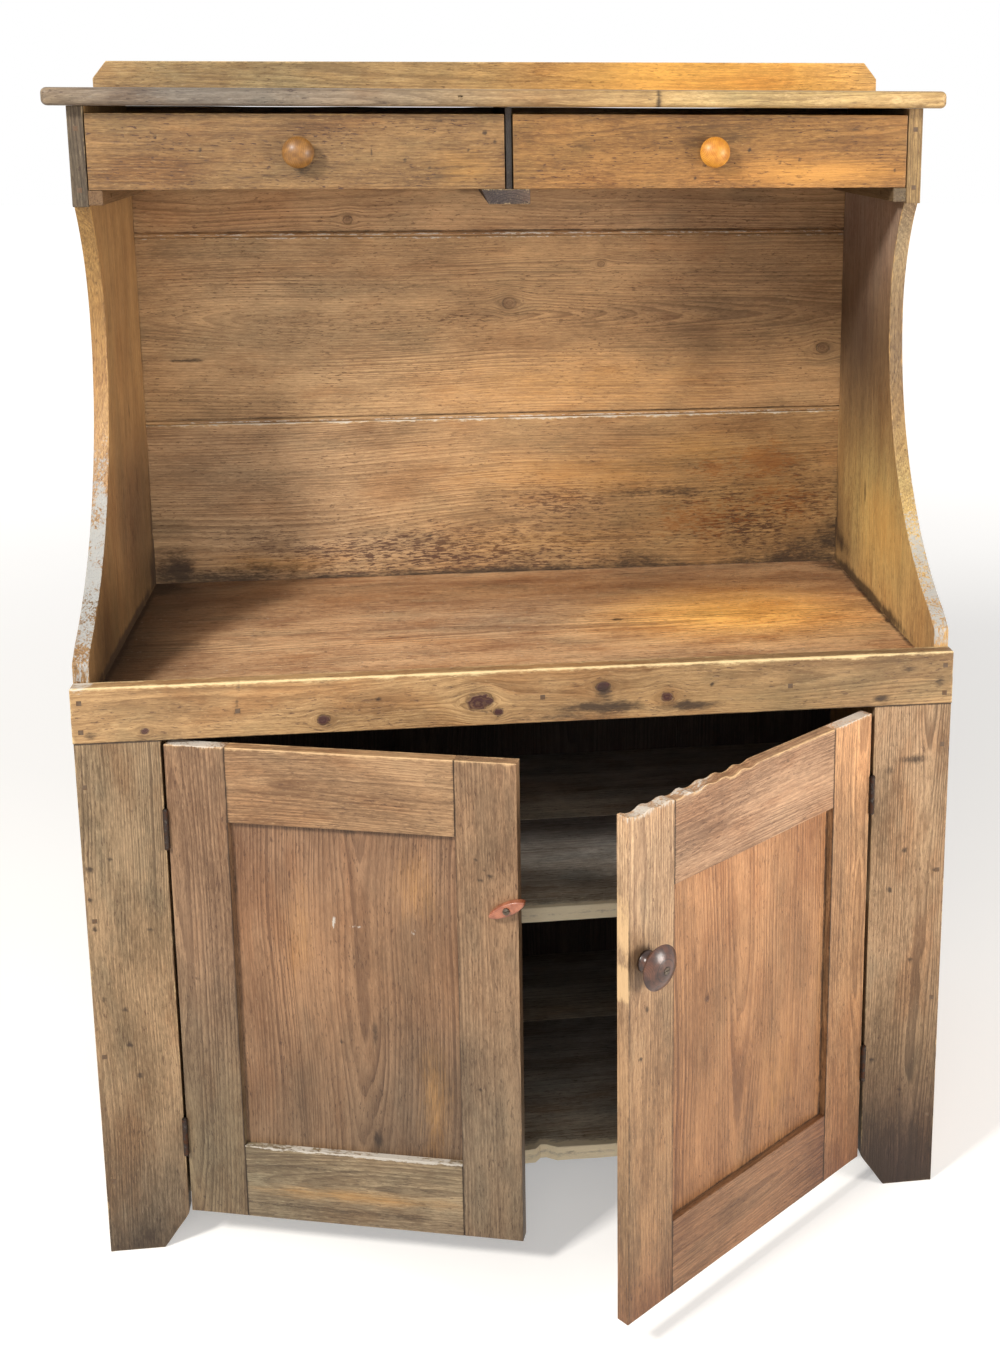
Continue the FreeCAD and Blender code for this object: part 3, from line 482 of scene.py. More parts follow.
def pine(name, pale, deep, line, worn=(214, 186, 140), grime_and_shade=(50, 38, 30), dusty_and_highlight=(200, 194, 184),
         knot_dark=(74, 46, 34), ring=4.0, lines=0.75, streaks=1.0, ticks=0.6, age=0.8, flecks=0.3,
         beetles=0.0, rough=0.5, heart=0.5, bent_knots=0.8, specks=0.0, clouds=1.0):
    """Colours are screen values, ring a year's width in mm, rough a roughness, and the rest are strengths."""
    f = Finish(name)
    place = f.stored("log")
    along, across, through = f.parts(place)
    wear_and_lit_edge, dirt_and_shade, dust_and_highlight = f.parts(f.stored("marks"))
    mottle, rust, gold = f.parts(f.stored("stain"))
    bend = f.noise(place, (.05, .12), 3.0, .6, 71.0) - .5
    knot = f.stored("knot", 2) * (1 + bend * bent_knots)
    # The years: distance from the pith, bent by slow noise, counted in rings, dark towards each ring's end.
    broad = f.noise(place, (.0016, .012), 2.0, .5, 3.1) - .5
    ripple = f.noise(place, (.011, .06), 2.0, .5, 7.7) - .5
    radius = (across * across + through * through) ** .5 + broad * 26 + ripple * 2.6
    uneven = f.noise(f.node("CombineXYZ", {}, {0: radius, 1: 0.0, 2: 0.0}), (.11, 1), 1.0, .5, 1.3)
    season = (radius / ring + uneven * 3.2).math("FRACT")
    late = season.rise(.25, .9) * season.rise(.92, 1.0, 1.0, 0.0)
    late = late * f.noise(place, (.004, .02), 2.0, .5, 11.0).rise(.3, .7, .35, 1.0)
    # The tone of a place: slow clouds, long bands, fine threads and short fibres, summed around a half.
    cloud = f.noise(place, (.007, .017), 3.0, .6, 21.0) - .5
    band = f.noise(place, (.0016, .07), 3.0, .6, 27.0) - .5
    thread = f.noise(place, (.012, .5), 2.0, .6, 31.0) - .5
    fibre = f.noise(place, (.07, .50), 3.0, .8, 37.0) - .5
    tone = cloud * 1.9 * clouds + band * .8 + (thread + fibre * 2.1) * streaks + .5
    colour = f.mix(tone.math("ADD", 0.0, clamp=True), deep, pale)
    colour = f.mix(late * lines, colour, line)
    # The patina leans to red in some places and to grey in others.
    patina = f.noise(place, (.006, .016), 4.0, .6, 61.0)
    colour = f.mix(patina.rise(.50, .68) * age, colour, REDDER, "MULTIPLY")
    colour = f.mix(patina.rise(.50, .32) * age, colour, GREYER, "MULTIPLY")
    tick = f.noise(place, (.085, .40), 3.0, .6, 39.0)
    ticked = tick.rise(.61, .65) * f.noise(place, (.012, .03), 2.0, .5, 43.0).rise(.35, .6, .2, 1.0)
    colour = f.mix(ticked * ticks, colour, knot_dark)
    colour = f.mix(tick.rise(.37, .31) * ticks * .3, colour, worn)
    # Flecks: short dark dashes along the grain, everywhere a few, and many where the board is mottled.
    dash = f.noise(place, (.062, .37), 4.0, .68, 41.0)
    few = f.noise(place, (.006, .02), 2.0, .5, 47.0) - .5
    fleck = (dash + few * .25 + mottle * .16).rise(.62, .71)
    colour = f.mix(fleck * (mottle * .62 + flecks), colour, knot_dark)
    # The tint multiplies in: the wood's own tone, and painted light and shade where tones stand for them.
    colour = f.vector("MULTIPLY", colour, f.stored("tint_and_light"))
    # Rust stain, and golden patches, painted sunlight among them.
    patch = f.noise(place, (.02, .045), 4.0, .65, 53.0) - .5
    fine = f.noise(place, (.12, .35), 3.0, .7, 59.0) - .5
    rusted = (rust + (patch * 2.2 + fine * 2.6 + dash - .5) * rust.rise(0, .2)).rise(.3, .9)
    colour = f.mix(rusted * .5, colour, RUST)
    gilded_and_sunlit = (gold * 1.1 + patch * .7 * gold.rise(0, .2) + thread * .8 * gold.rise(0, .2)).rise(.1, 1.1)
    colour = f.mix(gilded_and_sunlit * .45, colour, GILT_AND_SUNLIGHT)
    # Knots: a halo, bent rings and a dark heart.
    colour = f.mix(knot.rise(.8, 2.2, .4, 0.0), colour, line)
    inside = knot.rise(.66, 1.12, 1.0, 0.0)
    whorl = (knot * 17 + ripple * 9 + fine * 5).math("SINE") * .5 + .5
    colour = f.mix(inside * (heart + whorl * .3 + patch), colour, knot_dark)
    colour = f.mix(knot.peak(1.0, .16) * (.45 + patch * 2), colour, grime_and_shade)
    # Wear, grime and dust, all broken up by noise. The pale wear layer also paints light on some shelf and
    # top edges, the grime layer paints shade in creases, corners and recesses, and the dust layer paints
    # highlights on the beads.
    rubbed = (wear_and_lit_edge * 1.15 + patch * 1.6 + fine * 1.1).rise(.45, 1.15) * wear_and_lit_edge.rise(.02, .3)
    colour = f.mix(rubbed * .8, colour, worn)
    soiled_and_shaded = (dirt_and_shade * 1.15 + (patch * 1.5 + fine * .9) * dirt_and_shade.rise(0, .25)).rise(.16, .95)
    colour = f.mix(soiled_and_shaded * .88, colour, grime_and_shade)
    powder_and_highlight = (dust_and_highlight * 1.1 + (fine * 2.2 + patch * 1.8) * dust_and_highlight.rise(0, .25)).rise(.36, .8)
    colour = f.mix(powder_and_highlight * .8, colour, dusty_and_highlight)
    colour = f.mix(f.noise(place, (.20, .26), 2.0, .5, 83.0).rise(.70, .74) * specks, colour, dusty_and_highlight)
    # Beetle holes: some of the cells of a Voronoi pattern have a hole in their middle.
    sparse = f.vector("MULTIPLY", place, (.035, .04, .04))
    cell = f.node("TexVoronoi", {"feature": "F1"}, {"Vector": sparse, "Scale": 1.0})
    chosen = f.parts(Value(f, cell.socket.node.outputs["Color"]))[0]
    hole = cell.rise(.022, .036, 1.0, 0.0) * chosen.rise(1 - beetles, 1.001 - beetles)
    colour = f.mix(hole * .9, colour, HOLE)
    sheen = rough - thread * .22 - cloud * .15 + soiled_and_shaded * .12 + powder_and_highlight * .3 + fleck * .08
    height = (thread * .7 + fibre * .8 - ticked * .5 - late * .18 + patch * .9 + fine * .5 - fleck * .35
              - hole * 6 + inside * whorl * .3 - knot.peak(1.0, .15) * .8)
    FINISH[name] = f.close(colour, sheen.math("MAXIMUM", .2), height, .0005, .9, Specular_IOR_Level=.32)


# %% Finishes of the pine
pine("side_pine", (208, 166, 110), (148, 112, 74), (112, 78, 48), worn=(206, 166, 108), ring=4.4, lines=.4,
     rough=.42, dusty_and_highlight=(166, 170, 170), age=.5, clouds=.6, streaks=1.2)
pine("frame_pine", (172, 141, 106), (114, 91, 65), (84, 63, 44), ring=3.2, streaks=1.25, bent_knots=1.2)
pine("rim_pine", (188, 152, 107), (132, 102, 69), (104, 75, 47), worn=(228, 202, 152), ring=3.4, lines=.5,
     rough=.45, knot_dark=(66, 40, 38), heart=.85, bent_knots=2.0)
pine("well_pine", (234, 192, 146), (162, 120, 88), (112, 76, 54), worn=(226, 176, 112), lines=.6, rough=.34,
     flecks=.5, ticks=.9, specks=.6, streaks=1.3)
pine("back_pine", (194, 154, 108), (140, 108, 74), (104, 74, 48), ring=4.6, lines=.6, rough=.45, heart=.15,
     age=.55, streaks=.85)
# The planks are near black: painted shade deep in the cupboard. Their outer faces are lifted by their unseen
# multiplier.
pine("plank_pine", (74, 64, 58), (46, 40, 37), (34, 29, 27), worn=(96, 88, 78), ring=5.0, rough=.7)
# The shelves' near-white worn colour stands for painted light on their front edges.
pine("shelf_pine", (222, 210, 190), (140, 128, 112), (98, 86, 74), worn=(255, 240, 206), ring=4.4, lines=.4,
     rough=.65, flecks=.6)
pine("top_pine", (196, 156, 102), (138, 106, 68), (108, 78, 48), worn=(226, 194, 142), lines=.5, rough=.42)
pine("strip_pine", (140, 118, 92), (92, 74, 56), (72, 56, 42), ring=3.2, rough=.55)
pine("runner_pine", (88, 74, 66), (56, 46, 41), (42, 34, 30), ring=3.6, rough=.65)
pine("drawer_front_pine", (162, 118, 68), (108, 74, 40), (80, 52, 30), worn=(198, 158, 100), ring=4.8,
     lines=.42, beetles=.10, rough=.38, ticks=.95, streaks=1.2)
pine("drawer_inner_pine", (190, 160, 120), (152, 122, 88), (126, 96, 66), ring=4.2, rough=.6)
pine("door_frame_pine", (182, 143, 104), (124, 93, 65), (92, 63, 42), worn=(216, 180, 134), ring=3.8,
     lines=.65, rough=.45, streaks=1.15, age=.65)
pine("door_panel_pine", (180, 136, 96), (128, 92, 62), (96, 64, 42), worn=(208, 170, 130), ring=4.4, rough=.4,
     age=.6, streaks=.75)
print("pine finishes", len(FINISH))

# %% [markdown]
# ## The curved sides
# Each side is one wide board. Its front edge runs straight up behind the face frame, then back in a long
# sweep, and forward again under the drawers. Two arcs give this line, and the board's front edge follows it.

# %% Side outline
DEEPEST, TURN = 298, 1265                  # how far back the sweep goes, and at which height
LONG_ARC = 440.0                           # the radius below that height
SHORT_ARC = (55.0 ** 2 + 162.0 ** 2) / 110.0   # the radius above it, from an arc 55 deep and 162 high
REBATE = BACK_FACE - FRAME                 # where the rebate starts, from the front of the side


def side_front(height):
    """The depth of a side's front edge at a height: straight, slanting toe, long arc, short arc, straight."""
    lower, upper = (DEEPEST - radius + np.sqrt(np.maximum(radius ** 2 - (height - TURN) ** 2, 0))
                    for radius in (LONG_ARC, SHORT_ARC))
    toe = FRAME + (height - 850) * 24 / 18
    depth = np.where(height < 850, FRAME, np.where(height < 868, toe, np.where(height < TURN, lower, upper)))
    return np.where(height > 1427, 243.0, depth)


def even_along(outline, start, end, step):
    """Heights at which points lie evenly along an outline depth(height), by its summed length."""
    fine = np.linspace(start, end, 4000)
    run = np.concatenate([[0], np.cumsum(np.hypot(np.diff(fine), np.diff(outline(fine))))])
    return np.interp(np.linspace(0, run[-1], int(run[-1] / step)), run, fine)


def rebated(inner_high):
    """Cuts the rebate for the back boards: where they lie, the inner face is 11 mm further out."""
    def cut(points, nominal):
        level = np.minimum(points[:, 2], 10.0) if inner_high else np.maximum(points[:, 2], 11.0)
        points[:, 2] = np.where(points[:, 1] > REBATE, level, points[:, 2])
        return points
    return cut


# %% Sides
# For each side: its tones, the tones of its front edge, and its marks.
SIDES = {
    "left": (
        # Left side: the four lower tones darken the foot of the alcove, near the well floor, as painted
        # shade.
        [((.76, .74, .72), 1330, 400, 330, 400), ((.42, .42, .44), 870, 560, 150, 220),
         ((.6, .6, .62), 830, 300, 50, 300), ((.3, .28, .28), 850, 150, 130, 130),
         ((.48, .46, .54), 965, 420, 120, 180)],
        [((.76, .75, .60), 0, 1400, 170), ((1, 1, 1), .78, 955, 120)],
        # The dark lines along the well floor and in the back corner are painted shade in the creases.
        {"dirt_and_shade": [(830, 580, 50, 60, .9), (1250, 590, 300, 14, .5), (800, 300, 12, 320, 1.2),
                  (850, 590, 160, 22, .9), (1108, 440, 16, 3, .7)],
         "mottle": [(950, 420, 130, 160, .5)]}),
    "right": (
        # Right side: the second tone is the painted shadow of the drawers and top over the upper part, the
        # third lifts the lower middle as painted light, and the fourth is painted shade in the low back
        # corner.
        [((.82, 1.0, 1.9), 1420, 500, 150, 400), ((.20, .21, .30), 1190, 470, 190, 300),
         ((1.28, 1.62, 1.5), 940, 340, 130, 220), ((.5, .46, .46), 860, 570, 80, 90)],
        [((.92, .96, .78), 0, 1380, 200), ((1, 1, 1), .66, 905, 100)],
        # The dark lines along the well floor and in the back corner are painted shade in the creases, and the
        # gold patch is painted sunlight.
        {"dirt_and_shade": [(838, 545, 18, 60, .7), (960, 405, 22, 5, .8), (800, 400, 12, 260, 1.1),
                  (860, 592, 140, 18, .9), (1400, 590, 260, 14, .5)],
         "gold": [(930, 300, 80, 140, .8)], "mottle": [(930, 470, 90, 90, .6)]}),
}
for name, x0, x1, seed in (("left", -CASE, -INSIDE, 11), ("right", INSIDE, CASE, 12)):
    tones, edge_tones, spots = SIDES[name]
    board("side_" + name, "side_pine", "zyx", (0, FRAME, x0), (UNDER_TOP, BACK, x1), step=(9.0, 8.0),
          edge=2.2, seed=seed, low_edge=lambda z: side_front(z) - FRAME, shape=rebated(name == "left"),
          wave=.4, pith=(30, -60), slope=(.02, .01), lines_along=even_along(side_front, 846, 1430, 6.0),
          lines_across=(REBATE - .04, REBATE + .04), seen="high" if name == "left" else "low",
          unseen=(.60, .58, .66), spots=spots, tones=tones, edge_tones=edge_tones, worn=(.1, .2, .6, .1),
          worn_width=4.0, grimy=(.4, 0, 0, 0))
print("sides done")

# %% [markdown]
# ## Face frame
# Two uprights and the low rim of the well. The feet are cut on a slant, and the rim's upper edge is pale.


# %% Face frame
UNDER_RIM, STILE_IN = 750, 481


def foot_edge(z):
    """How far a stile's inner edge lies outwards at a height, in a soft slant up to 52 mm."""
    share = np.clip(z / 52.0, 0, 1)
    return -35.5 * (1 - share) ** 1.15 - 1.2 * np.sin(math.pi * share) ** 2


STILES = {
    "left": (dict(high_edge=foot_edge, pith=(-60, -30)),
             [((.42, .48, .58), 0, -535, 190, 200), ((.82, .88, .94), 720, -535, 200, 200)],
             [(488, -580), (531, -583), (385, -574), (368, -549), (483, -509), (315, -545), (269, -535),
              (574, -581), (587, -554)],
             [(0, -560, 60, 200, .5)]),
    "right": (dict(low_edge=lambda z: -foot_edge(z), pith=(18, -22)),
              [((1.06, 1.08, 1.16), 700, 535, 160, 200), ((.12, .10, .14), 0, 535, 230, 200),
               ((1.2, 1.2, 1.26), 400, 530, 130, 200), ((.75, .75, .75), 420, 590, 300, 22)],
              [(533, 531), (500, 576), (473, 511), (362, 545), (154, 537), (206, 493), (681, 591)],
              [(0, 560, 120, 200, .6), (669, 540, 7, 26, .75), (655, 505, 8, 8, .5)]),
}
for name, x0, x1, seed in (("left", -CASE, -STILE_IN, 21), ("right", STILE_IN, CASE, 22)):
    form, tones, dents, dirt_and_shade = STILES[name]
    board("stile_" + name, "frame_pine", "zxy", (0, x0, 0), (UNDER_RIM, x1, FRAME), seen="low",
          step=(4.0, 4.0), edge=1.6, lines_along=np.linspace(0, 56, 20), wave=.45, slope=(.006, .01),
          worn=(.8, .1, .6, .6), grimy=(0, .9, 0, 0), seed=seed, tones=tones,
          spots={"dirt_and_shade": [(z, x, 4, 4, 1.0) for z, x in dents] + dirt_and_shade}, **form)
print("stiles done")

# %% Rim
drip = [(-378 - 20 * t * t, 822 - 75 * t, 2.2, 5, .55) for t in np.linspace(0, 1, 14)]
board("rim_rail", "rim_pine", "xzy", (-591, UNDER_RIM, 0), (591, RIM, FRAME), step=(3.5, 3.5), edge=3.0,
      radius=lambda points, rub: np.where(points[:, 1] > 38, 3.0 * np.clip(rub + .2, .6, 1), 1.2), seed=23,
      wave=.5, pith=(10, -40), slope=(.004, .006), worn=(.8, .6, .2, 1.25), worn_width=5, grimy=(0, 0, .8, 0),
      knots=[(-67, 783, 12), (-52, 783, 5), (-39, 768, 5), (101, 797, 7), (189, 778, 8), (-499, 764, 5),
             (-271, 768, 7)],
      spots={"dirt_and_shade": [(84, 769, 20, 7, .9), (215, 768, 12, 6, .9), (526, 803, 12, 5, .7),
                      (489, 762, 14, 5, .7), (572, 782, 8, 10, .7), (-568, 762, 10, 6, .7),
                      (-198, 793, 5, 4, .8), (251, 793, 3, 3, 1.0), (60, 757, 150, 6, .6),
                      (110, 767, 64, 9, .85), (216, 765, 50, 8, .8), (104, 790, 12, 14, .6)] + drip,
             "dust_and_highlight": [(-580, 826, 16, 7, .8)]},
      tones=[((.72, .72, .72), 400, 790, 300, 80)])
print("rim done")

# %% [markdown]
# ## Well and shelves
# The well's floor lies behind the rim. Under it, two shelves of two boards each fill the cupboard, with front
# edges that still follow the outside of the tree in places.


# %% Well and shelves
def waney(seed, notch):
    """The front edge of a shelf moves back by a few millimetres in slow waves, and by 10 mm in a notch."""
    def edge(x):
        depth = 1.6 + 1.4 * waves_along(x, 130, seed) + .5 * waves_along(x, 30, seed + 1)
        if notch is not None:
            depth = depth + 10 * smooth(np.abs(x - notch), 11, 7)
        return np.maximum(depth, 0)
    return edge


board("well_floor", "well_pine", "xyz", (-575, FRAME, WELL), (575, BACK_FACE, WELL_FLOOR), step=(7.0, 7.0),
      edge=1.0, seed=31, wave=.5, pith=(-40, 75), slope=(.01, .015), worn=(0, 0, .4, 0), grimy=(0, 0, .7, .8),
      # The first two tones darken the left front corner and the left back as painted shade of the left side
      # board, and the fourth is a painted pool of golden sunlight right of the middle.
      tones=[((.10, .10, .12), -575, 230, 110, 330), ((.5, .5, .52), -500, 500, 170, 160),
             ((.62, .56, .50), 120, 490, 620, 90), ((2.1, 1.85, .9), 350, 300, 180, 100),
             ((.84, .92, 1.04), 0, 330, 150, 90)],
      # The dark spots in the back corners and the long lines along the back and both sides are painted shade
      # in the creases, and the gold spot is painted sunlight.
      spots={"dirt_and_shade": [(-560, 560, 60, 60, .8), (560, 560, 40, 50, .7), (0, 586, 600, 5, .6),
                      (155, 300, 9, 6, .9), (-60, 360, 90, 9, .35), (60, 330, 70, 7, .3),
                      (-568, 300, 7, 400, 1.1), (568, 300, 6, 400, .9)],
             "gold": [(330, 370, 190, 100, .8)], "mottle": [(0, 330, 400, 60, .5)]})
print("well floor done")

# %% Shelves
SHELVES = (
    ("middle_shelf_front", FRAME, 322, 444, 41, None),
    ("middle_shelf_back", 322, BACK_FACE, 444, 42, None),
    ("bottom_shelf_front", FRAME, 371, 65.5, 43, 19.0),
    ("bottom_shelf_back", 371, BACK_FACE, 65.5, 44, None),
)
for name, y0, y1, z, seed, notch in SHELVES:
    front = waney(seed, notch) if name.endswith("front") else None
    # The pale worn front edge and the last tone, which lifts the front strip, are painted light on the
    # shelf's front, and the first tone darkens the back as painted shade.
    board(name, "shelf_pine", "xyz", (-575, y0, z), (575, y1, z + 22), step=(8.0, 9.0), edge=2.0, seed=seed,
          low_edge=front, lines_along=np.linspace(1, 37, 19) if notch else (), pith=(20, 70), worn_width=14,
          worn=(0, 0, 1.7 if front else 0, 0),
          tones=[((.42, .44, .5), 0, y1, 700, 230), ((.55, .55, .6), 400, 300, 300, 400),
                 ((1.3, 1.28, 1.2), 0, y0, 900, 70)])
print("shelves done", len(SHELVES))

# %% [markdown]
# ## Back
# Three boards lie across the back of the alcove. The upper two have a bead and a sunk line along their lower
# edge, worked as a profile through the board's front face. Four upright planks close the cupboard.


# %% Back boards
def beaded(points, nominal):
    """The front face sinks to 3.5 mm beside a half-round bead 7 mm wide, and in the 2 mm line above it."""
    z = points[:, 1]
    bead = 3.5 - np.sqrt(np.clip(3.5 ** 2 - (z - 3.5) ** 2, 0, None))
    depth = np.where(z < 7, bead, np.where(z < 9, 3.5, 0))
    points[:, 2] = np.maximum(points[:, 2], depth)
    return points


LOWER_JOINT, UPPER_JOINT = 1059, 1358
BEADED = dict(shape=beaded, edge=.9, grimy=(.6, .6, 0, 0),
              lines_across=(0, .25, .8, 1.6, 2.5, 3.5, 4.5, 5.4, 6.2, 6.75, 6.98, 7.02, 8.97, 9.03))
board("back_board_lower", "back_pine", "xzy", (-580, WELL, BACK_FACE), (580, LOWER_JOINT, BACK),
      step=(5.0, 5.0), edge=1.0, seed=51, pith=(-60, -50), slope=(.01, .02), worn=(0, 0, .2, 1), seen="low",
      # The dark band along the foot, where the board meets the well floor, and the spots in its two corners
      # are painted shade.
      spots={"dirt_and_shade": [(0, 790, 900, 15, .85), (-430, 800, 150, 26, .7), (230, 800, 90, 24, .6),
                      (520, 802, 90, 34, .8), (-123, 864, 6, 5, .9), (560, 832, 30, 40, .7),
                      (300, 925, 130, 10, .45), (150, 893, 90, 7, .4), (-20, 850, 120, 8, .35),
                      (-540, 815, 40, 40, .9)],
             # The pale line along the top edge is a painted highlight along the bead above it.
             "dust_and_highlight": [(0, LOWER_JOINT, 900, 1.8, .75)],
             "mottle": [(-100, 830, 520, 62, 1.0), (420, 880, 220, 95, 1.0), (120, 920, 200, 50, .8)],
             "rust": [(366, 961, 60, 16, .9), (445, 975, 60, 34, 1.0), (332, 875, 80, 30, .75),
                      (470, 900, 90, 40, .6)],
             # The gold patches right of the middle are painted sunlight.
             "gold": [(120, 960, 220, 40, .55), (-380, 822, 130, 20, .6), (330, 1000, 160, 30, .5),
                      (60, 850, 200, 30, .4)]},
      tones=[((1.0, 1.1, 1.32), -430, 950, 300, 200), ((.76, .74, .62), 430, 920, 260, 170),
             ((1.07, 1.14, 1.22), -290, 850, 170, 45)])
print("lower back board done")

# %% Beaded boards
flame = [(x, 1225 + 14 * math.sin(x / 60), 26, 4, .28) for x in range(-520, 540, 42)]
board("back_board_middle", "back_pine", "xzy", (-580, LOWER_JOINT, BACK_FACE), (580, UPPER_JOINT, BACK),
      step=(4.5, 4.5), seed=52, pith=(16, -22), slope=(.004, .05), worn=(0, 0, .5, 0), seen="low",
      knots=[(15, 1249, 9), (538, 1167, 9), (165, 1311, 5)],
      # The dark line at 1067.5 is painted shade in the sunk line above the bead, and the pale lines at 1062
      # and 1356 are painted highlights along the beads.
      spots={"dirt_and_shade": flame + [(-507, 1163, 40, 1.6, .9), (0, 1067.5, 900, 1.3, .9)],
             "dust_and_highlight": [(0, 1062, 900, 1.2, .6), (0, 1356, 900, 1.5, .6)],
             "gold": [(150, 1110, 300, 60, .45)], "mottle": [(0, 1225, 600, 20, .5)]},
      tones=[((1.04, 1.02, .98), 200, 1120, 300, 120), ((1.05, 1.16, 1.3), -350, 1210, 260, 200)], **BEADED)
board("back_board_upper", "back_pine", "xzy", (-580, UPPER_JOINT, BACK_FACE), (580, 1558, BACK),
      step=(6.0, 5.0), seed=53, high_edge=lambda x: 2.1 + .75 * smooth(waves_along(x, 240, 8), -.2, .35),
      pith=(-30, -45), slope=(.006, .01), worn=(0, 0, .6, 0), seen="low", knots=[(-240, 1385, 6)],
      # The dark line is painted shade in the sunk line, and the pale line is a painted highlight on the bead.
      spots={"dirt_and_shade": [(0, 1366.5, 900, 1.3, .9)], "dust_and_highlight": [(0, 1362, 900, 2, .5)]},
      tones=[((1.04, 1.06, 1.14), 0, 1458, 900, 300)], **BEADED)
print("beaded boards done")

# %% Planks
PLANK_JOINTS = (-580, -312, -9, 294, 580)
for number in (1, 2, 3, 4):
    x0, x1 = PLANK_JOINTS[number - 1:number + 1]
    # The inner faces keep the near-black painted shade, and the outer faces are lifted about threefold to
    # plain wood.
    board("lower_back_plank_%d" % number, "plank_pine", "zxy", (52, x0, BACK_FACE), (WELL, x1, BACK),
          step=(9.0, 9.0), edge=1.5, seed=60 + number, pith=(30 * (-1) ** number, -60), slope=(.01, .015),
          seen="low", unseen=(3.0, 2.7, 2.4))
print("planks done", len(PLANK_JOINTS) - 1)

# %% [markdown]
# ## Top
# The top is rounded along its front and ends, and a low upstand with cut corners stands along its back.


# %% Top
def top_radius(points, rub):
    """8 mm along the front and the ends, and 1 mm at the back."""
    return 8.0 - 7.0 * smooth(points[:, 1], 330, 385)


def gallery_crest(x):
    """The upstand's ends are cut off over 21 mm, from 26 mm below its crest, which falls 5 mm to the left."""
    reach = np.minimum(x + TOP_END, TOP_END - x)
    return -26 * (1 - np.clip(reach / 21.0, 0, 1)) - 5 * (TOP_END - x) / (2 * TOP_END)


board("top_board", "top_pine", "xyz", (-TOP_END, 208, UNDER_TOP), (TOP_END, BACK, ON_TOP), step=(6.0, 8.0),
      edge=8.0, seed=71, radius=top_radius, pith=(50, 80), slope=(.01, .01), worn=(.5, .5, .3, 0),
      worn_width=7,
      # The worn spots on the right of the front edge are painted sunlight. Of the tones, the first lifts the
      # right part as painted sunlight, and the second and third darken the left front edge as painted shade.
      spots={"worn": [(x, 208, 90, 14, .45) for x in (240, 420, 560)], "dirt_and_shade": [(205, 208, 5, 9, .9)]},
      tones=[((1.25, 1.2, 1.1), 420, 380, 330, 400), ((.40, .56, 1.1), -430, 208, 330, 40),
             ((.78, .86, 1.0), -128, 208, 150, 40), ((.88, 1.06, 1.25), 400, 208, 300, 30)])
board("gallery_board", "top_pine", "xzy", (-TOP_END, ON_TOP, BACK_FACE), (TOP_END, 1633, BACK),
      step=(4.0, 4.5), edge=1.6, seed=72, high_edge=gallery_crest, pith=(10, -40), worn=(.5, .5, 0, .7),
      grimy=(0, 0, .5, 0), lines_along=(0, 3, 7, 11, 16, 21, 1214, 1219, 1224, 1228, 1232, 1235),
      # The gold spot and the first tone are painted sunlight on the right half, and the second tone darkens
      # the left half as painted shade.
      spots={"gold": [(300, 1606, 260, 60, .7)]},
      tones=[((1.9, 1.7, .85), 360, 1606, 260, 90), ((.72, .9, 1.08), -400, 1606, 300, 90)])
print("top done")

# %% [markdown]
# ## Beside and under the drawers
# A narrow strip covers the front edge of each side. The drawers run on two side runners and one centre
# runner, whose left side leans, and a thin divider stands between them.

# %% Strips and side runners
RUNWAY = 1449.2
# The left strip's tone darkens it as painted shade, and the right strip's tone lifts it as painted sunlight.
for name, x0, x1, tone, seed in (("left", -CASE, -INSIDE, (.52, .56, .60), 81),
                                 ("right", INSIDE, CASE, (1.6, 1.5, 1.05), 82)):
    board("drawer_strip_" + name, "strip_pine", "zxy", (1427, x0, DRAWER_FACE),
          (UNDER_TOP, x1, DRAWER_FACE + 10), step=(3.0, 3.0), seed=seed, pith=(20, -30), worn=(.3, 0, .4, .4),
          tones=[(tone, 1490, (x0 + x1) / 2, 200, 200)])
for name, x0, x1, tone, seed in (("left", -INSIDE, -550, (.31, .29, .32), 83),
                                 ("right", 550, INSIDE, (.25, .29, .37), 84)):
    board("side_runner_" + name, "side_pine", "yxz", (234, x0, RUNWAY - 20), (BACK_FACE, x1, RUNWAY),
          step=(8.0, 4.0), seed=seed, pith=(10, -30), worn=(.2, 0, .2, .2),
          tones=[(tone, 234, x0, 900, 200)], slot="runner_pine")
print("strips and side runners done")


# %% Centre runner and divider
def runner_slant(points, nominal):
    """The left side of the centre runner leans in by 10 mm from its top to its foot."""
    lean = 10 * (1 - points[:, 2] / 21.0)
    points[:, 1] += lean * np.clip(1 - points[:, 1] / 34.0, 0, 1)
    return points


board("centre_runner", "runner_pine", "yxz", (DRAWER_FACE, -41, RUNWAY - 21), (BACK_FACE, 27, RUNWAY),
      step=(8.0, 4.0), edge=1.5, seed=85, shape=runner_slant, pith=(10, -30),
      tones=[((.70, .73, .84), DRAWER_FACE, -22, 900, 24), ((1.3, 1.22, 1.12), DRAWER_FACE, 25, 900, 14)])
board("drawer_divider", "runner_pine", "yzx", (236, RUNWAY, -6.5), (BACK_FACE, UNDER_TOP, 2.5),
      step=(8.0, 5.0), edge=.8, seed=86, pith=(10, -30), worn=(0, 0, 0, 0),
      tones=[((.38, .45, .49), 236, 1500, 30, 90)])
print("centre runner and divider done")

# %% [markdown]
# ## Turned knobs
# A knob is turned on a lathe: one line, the profile, is carried round an axis. The first and last points lie
# on the axis, so the form is closed.


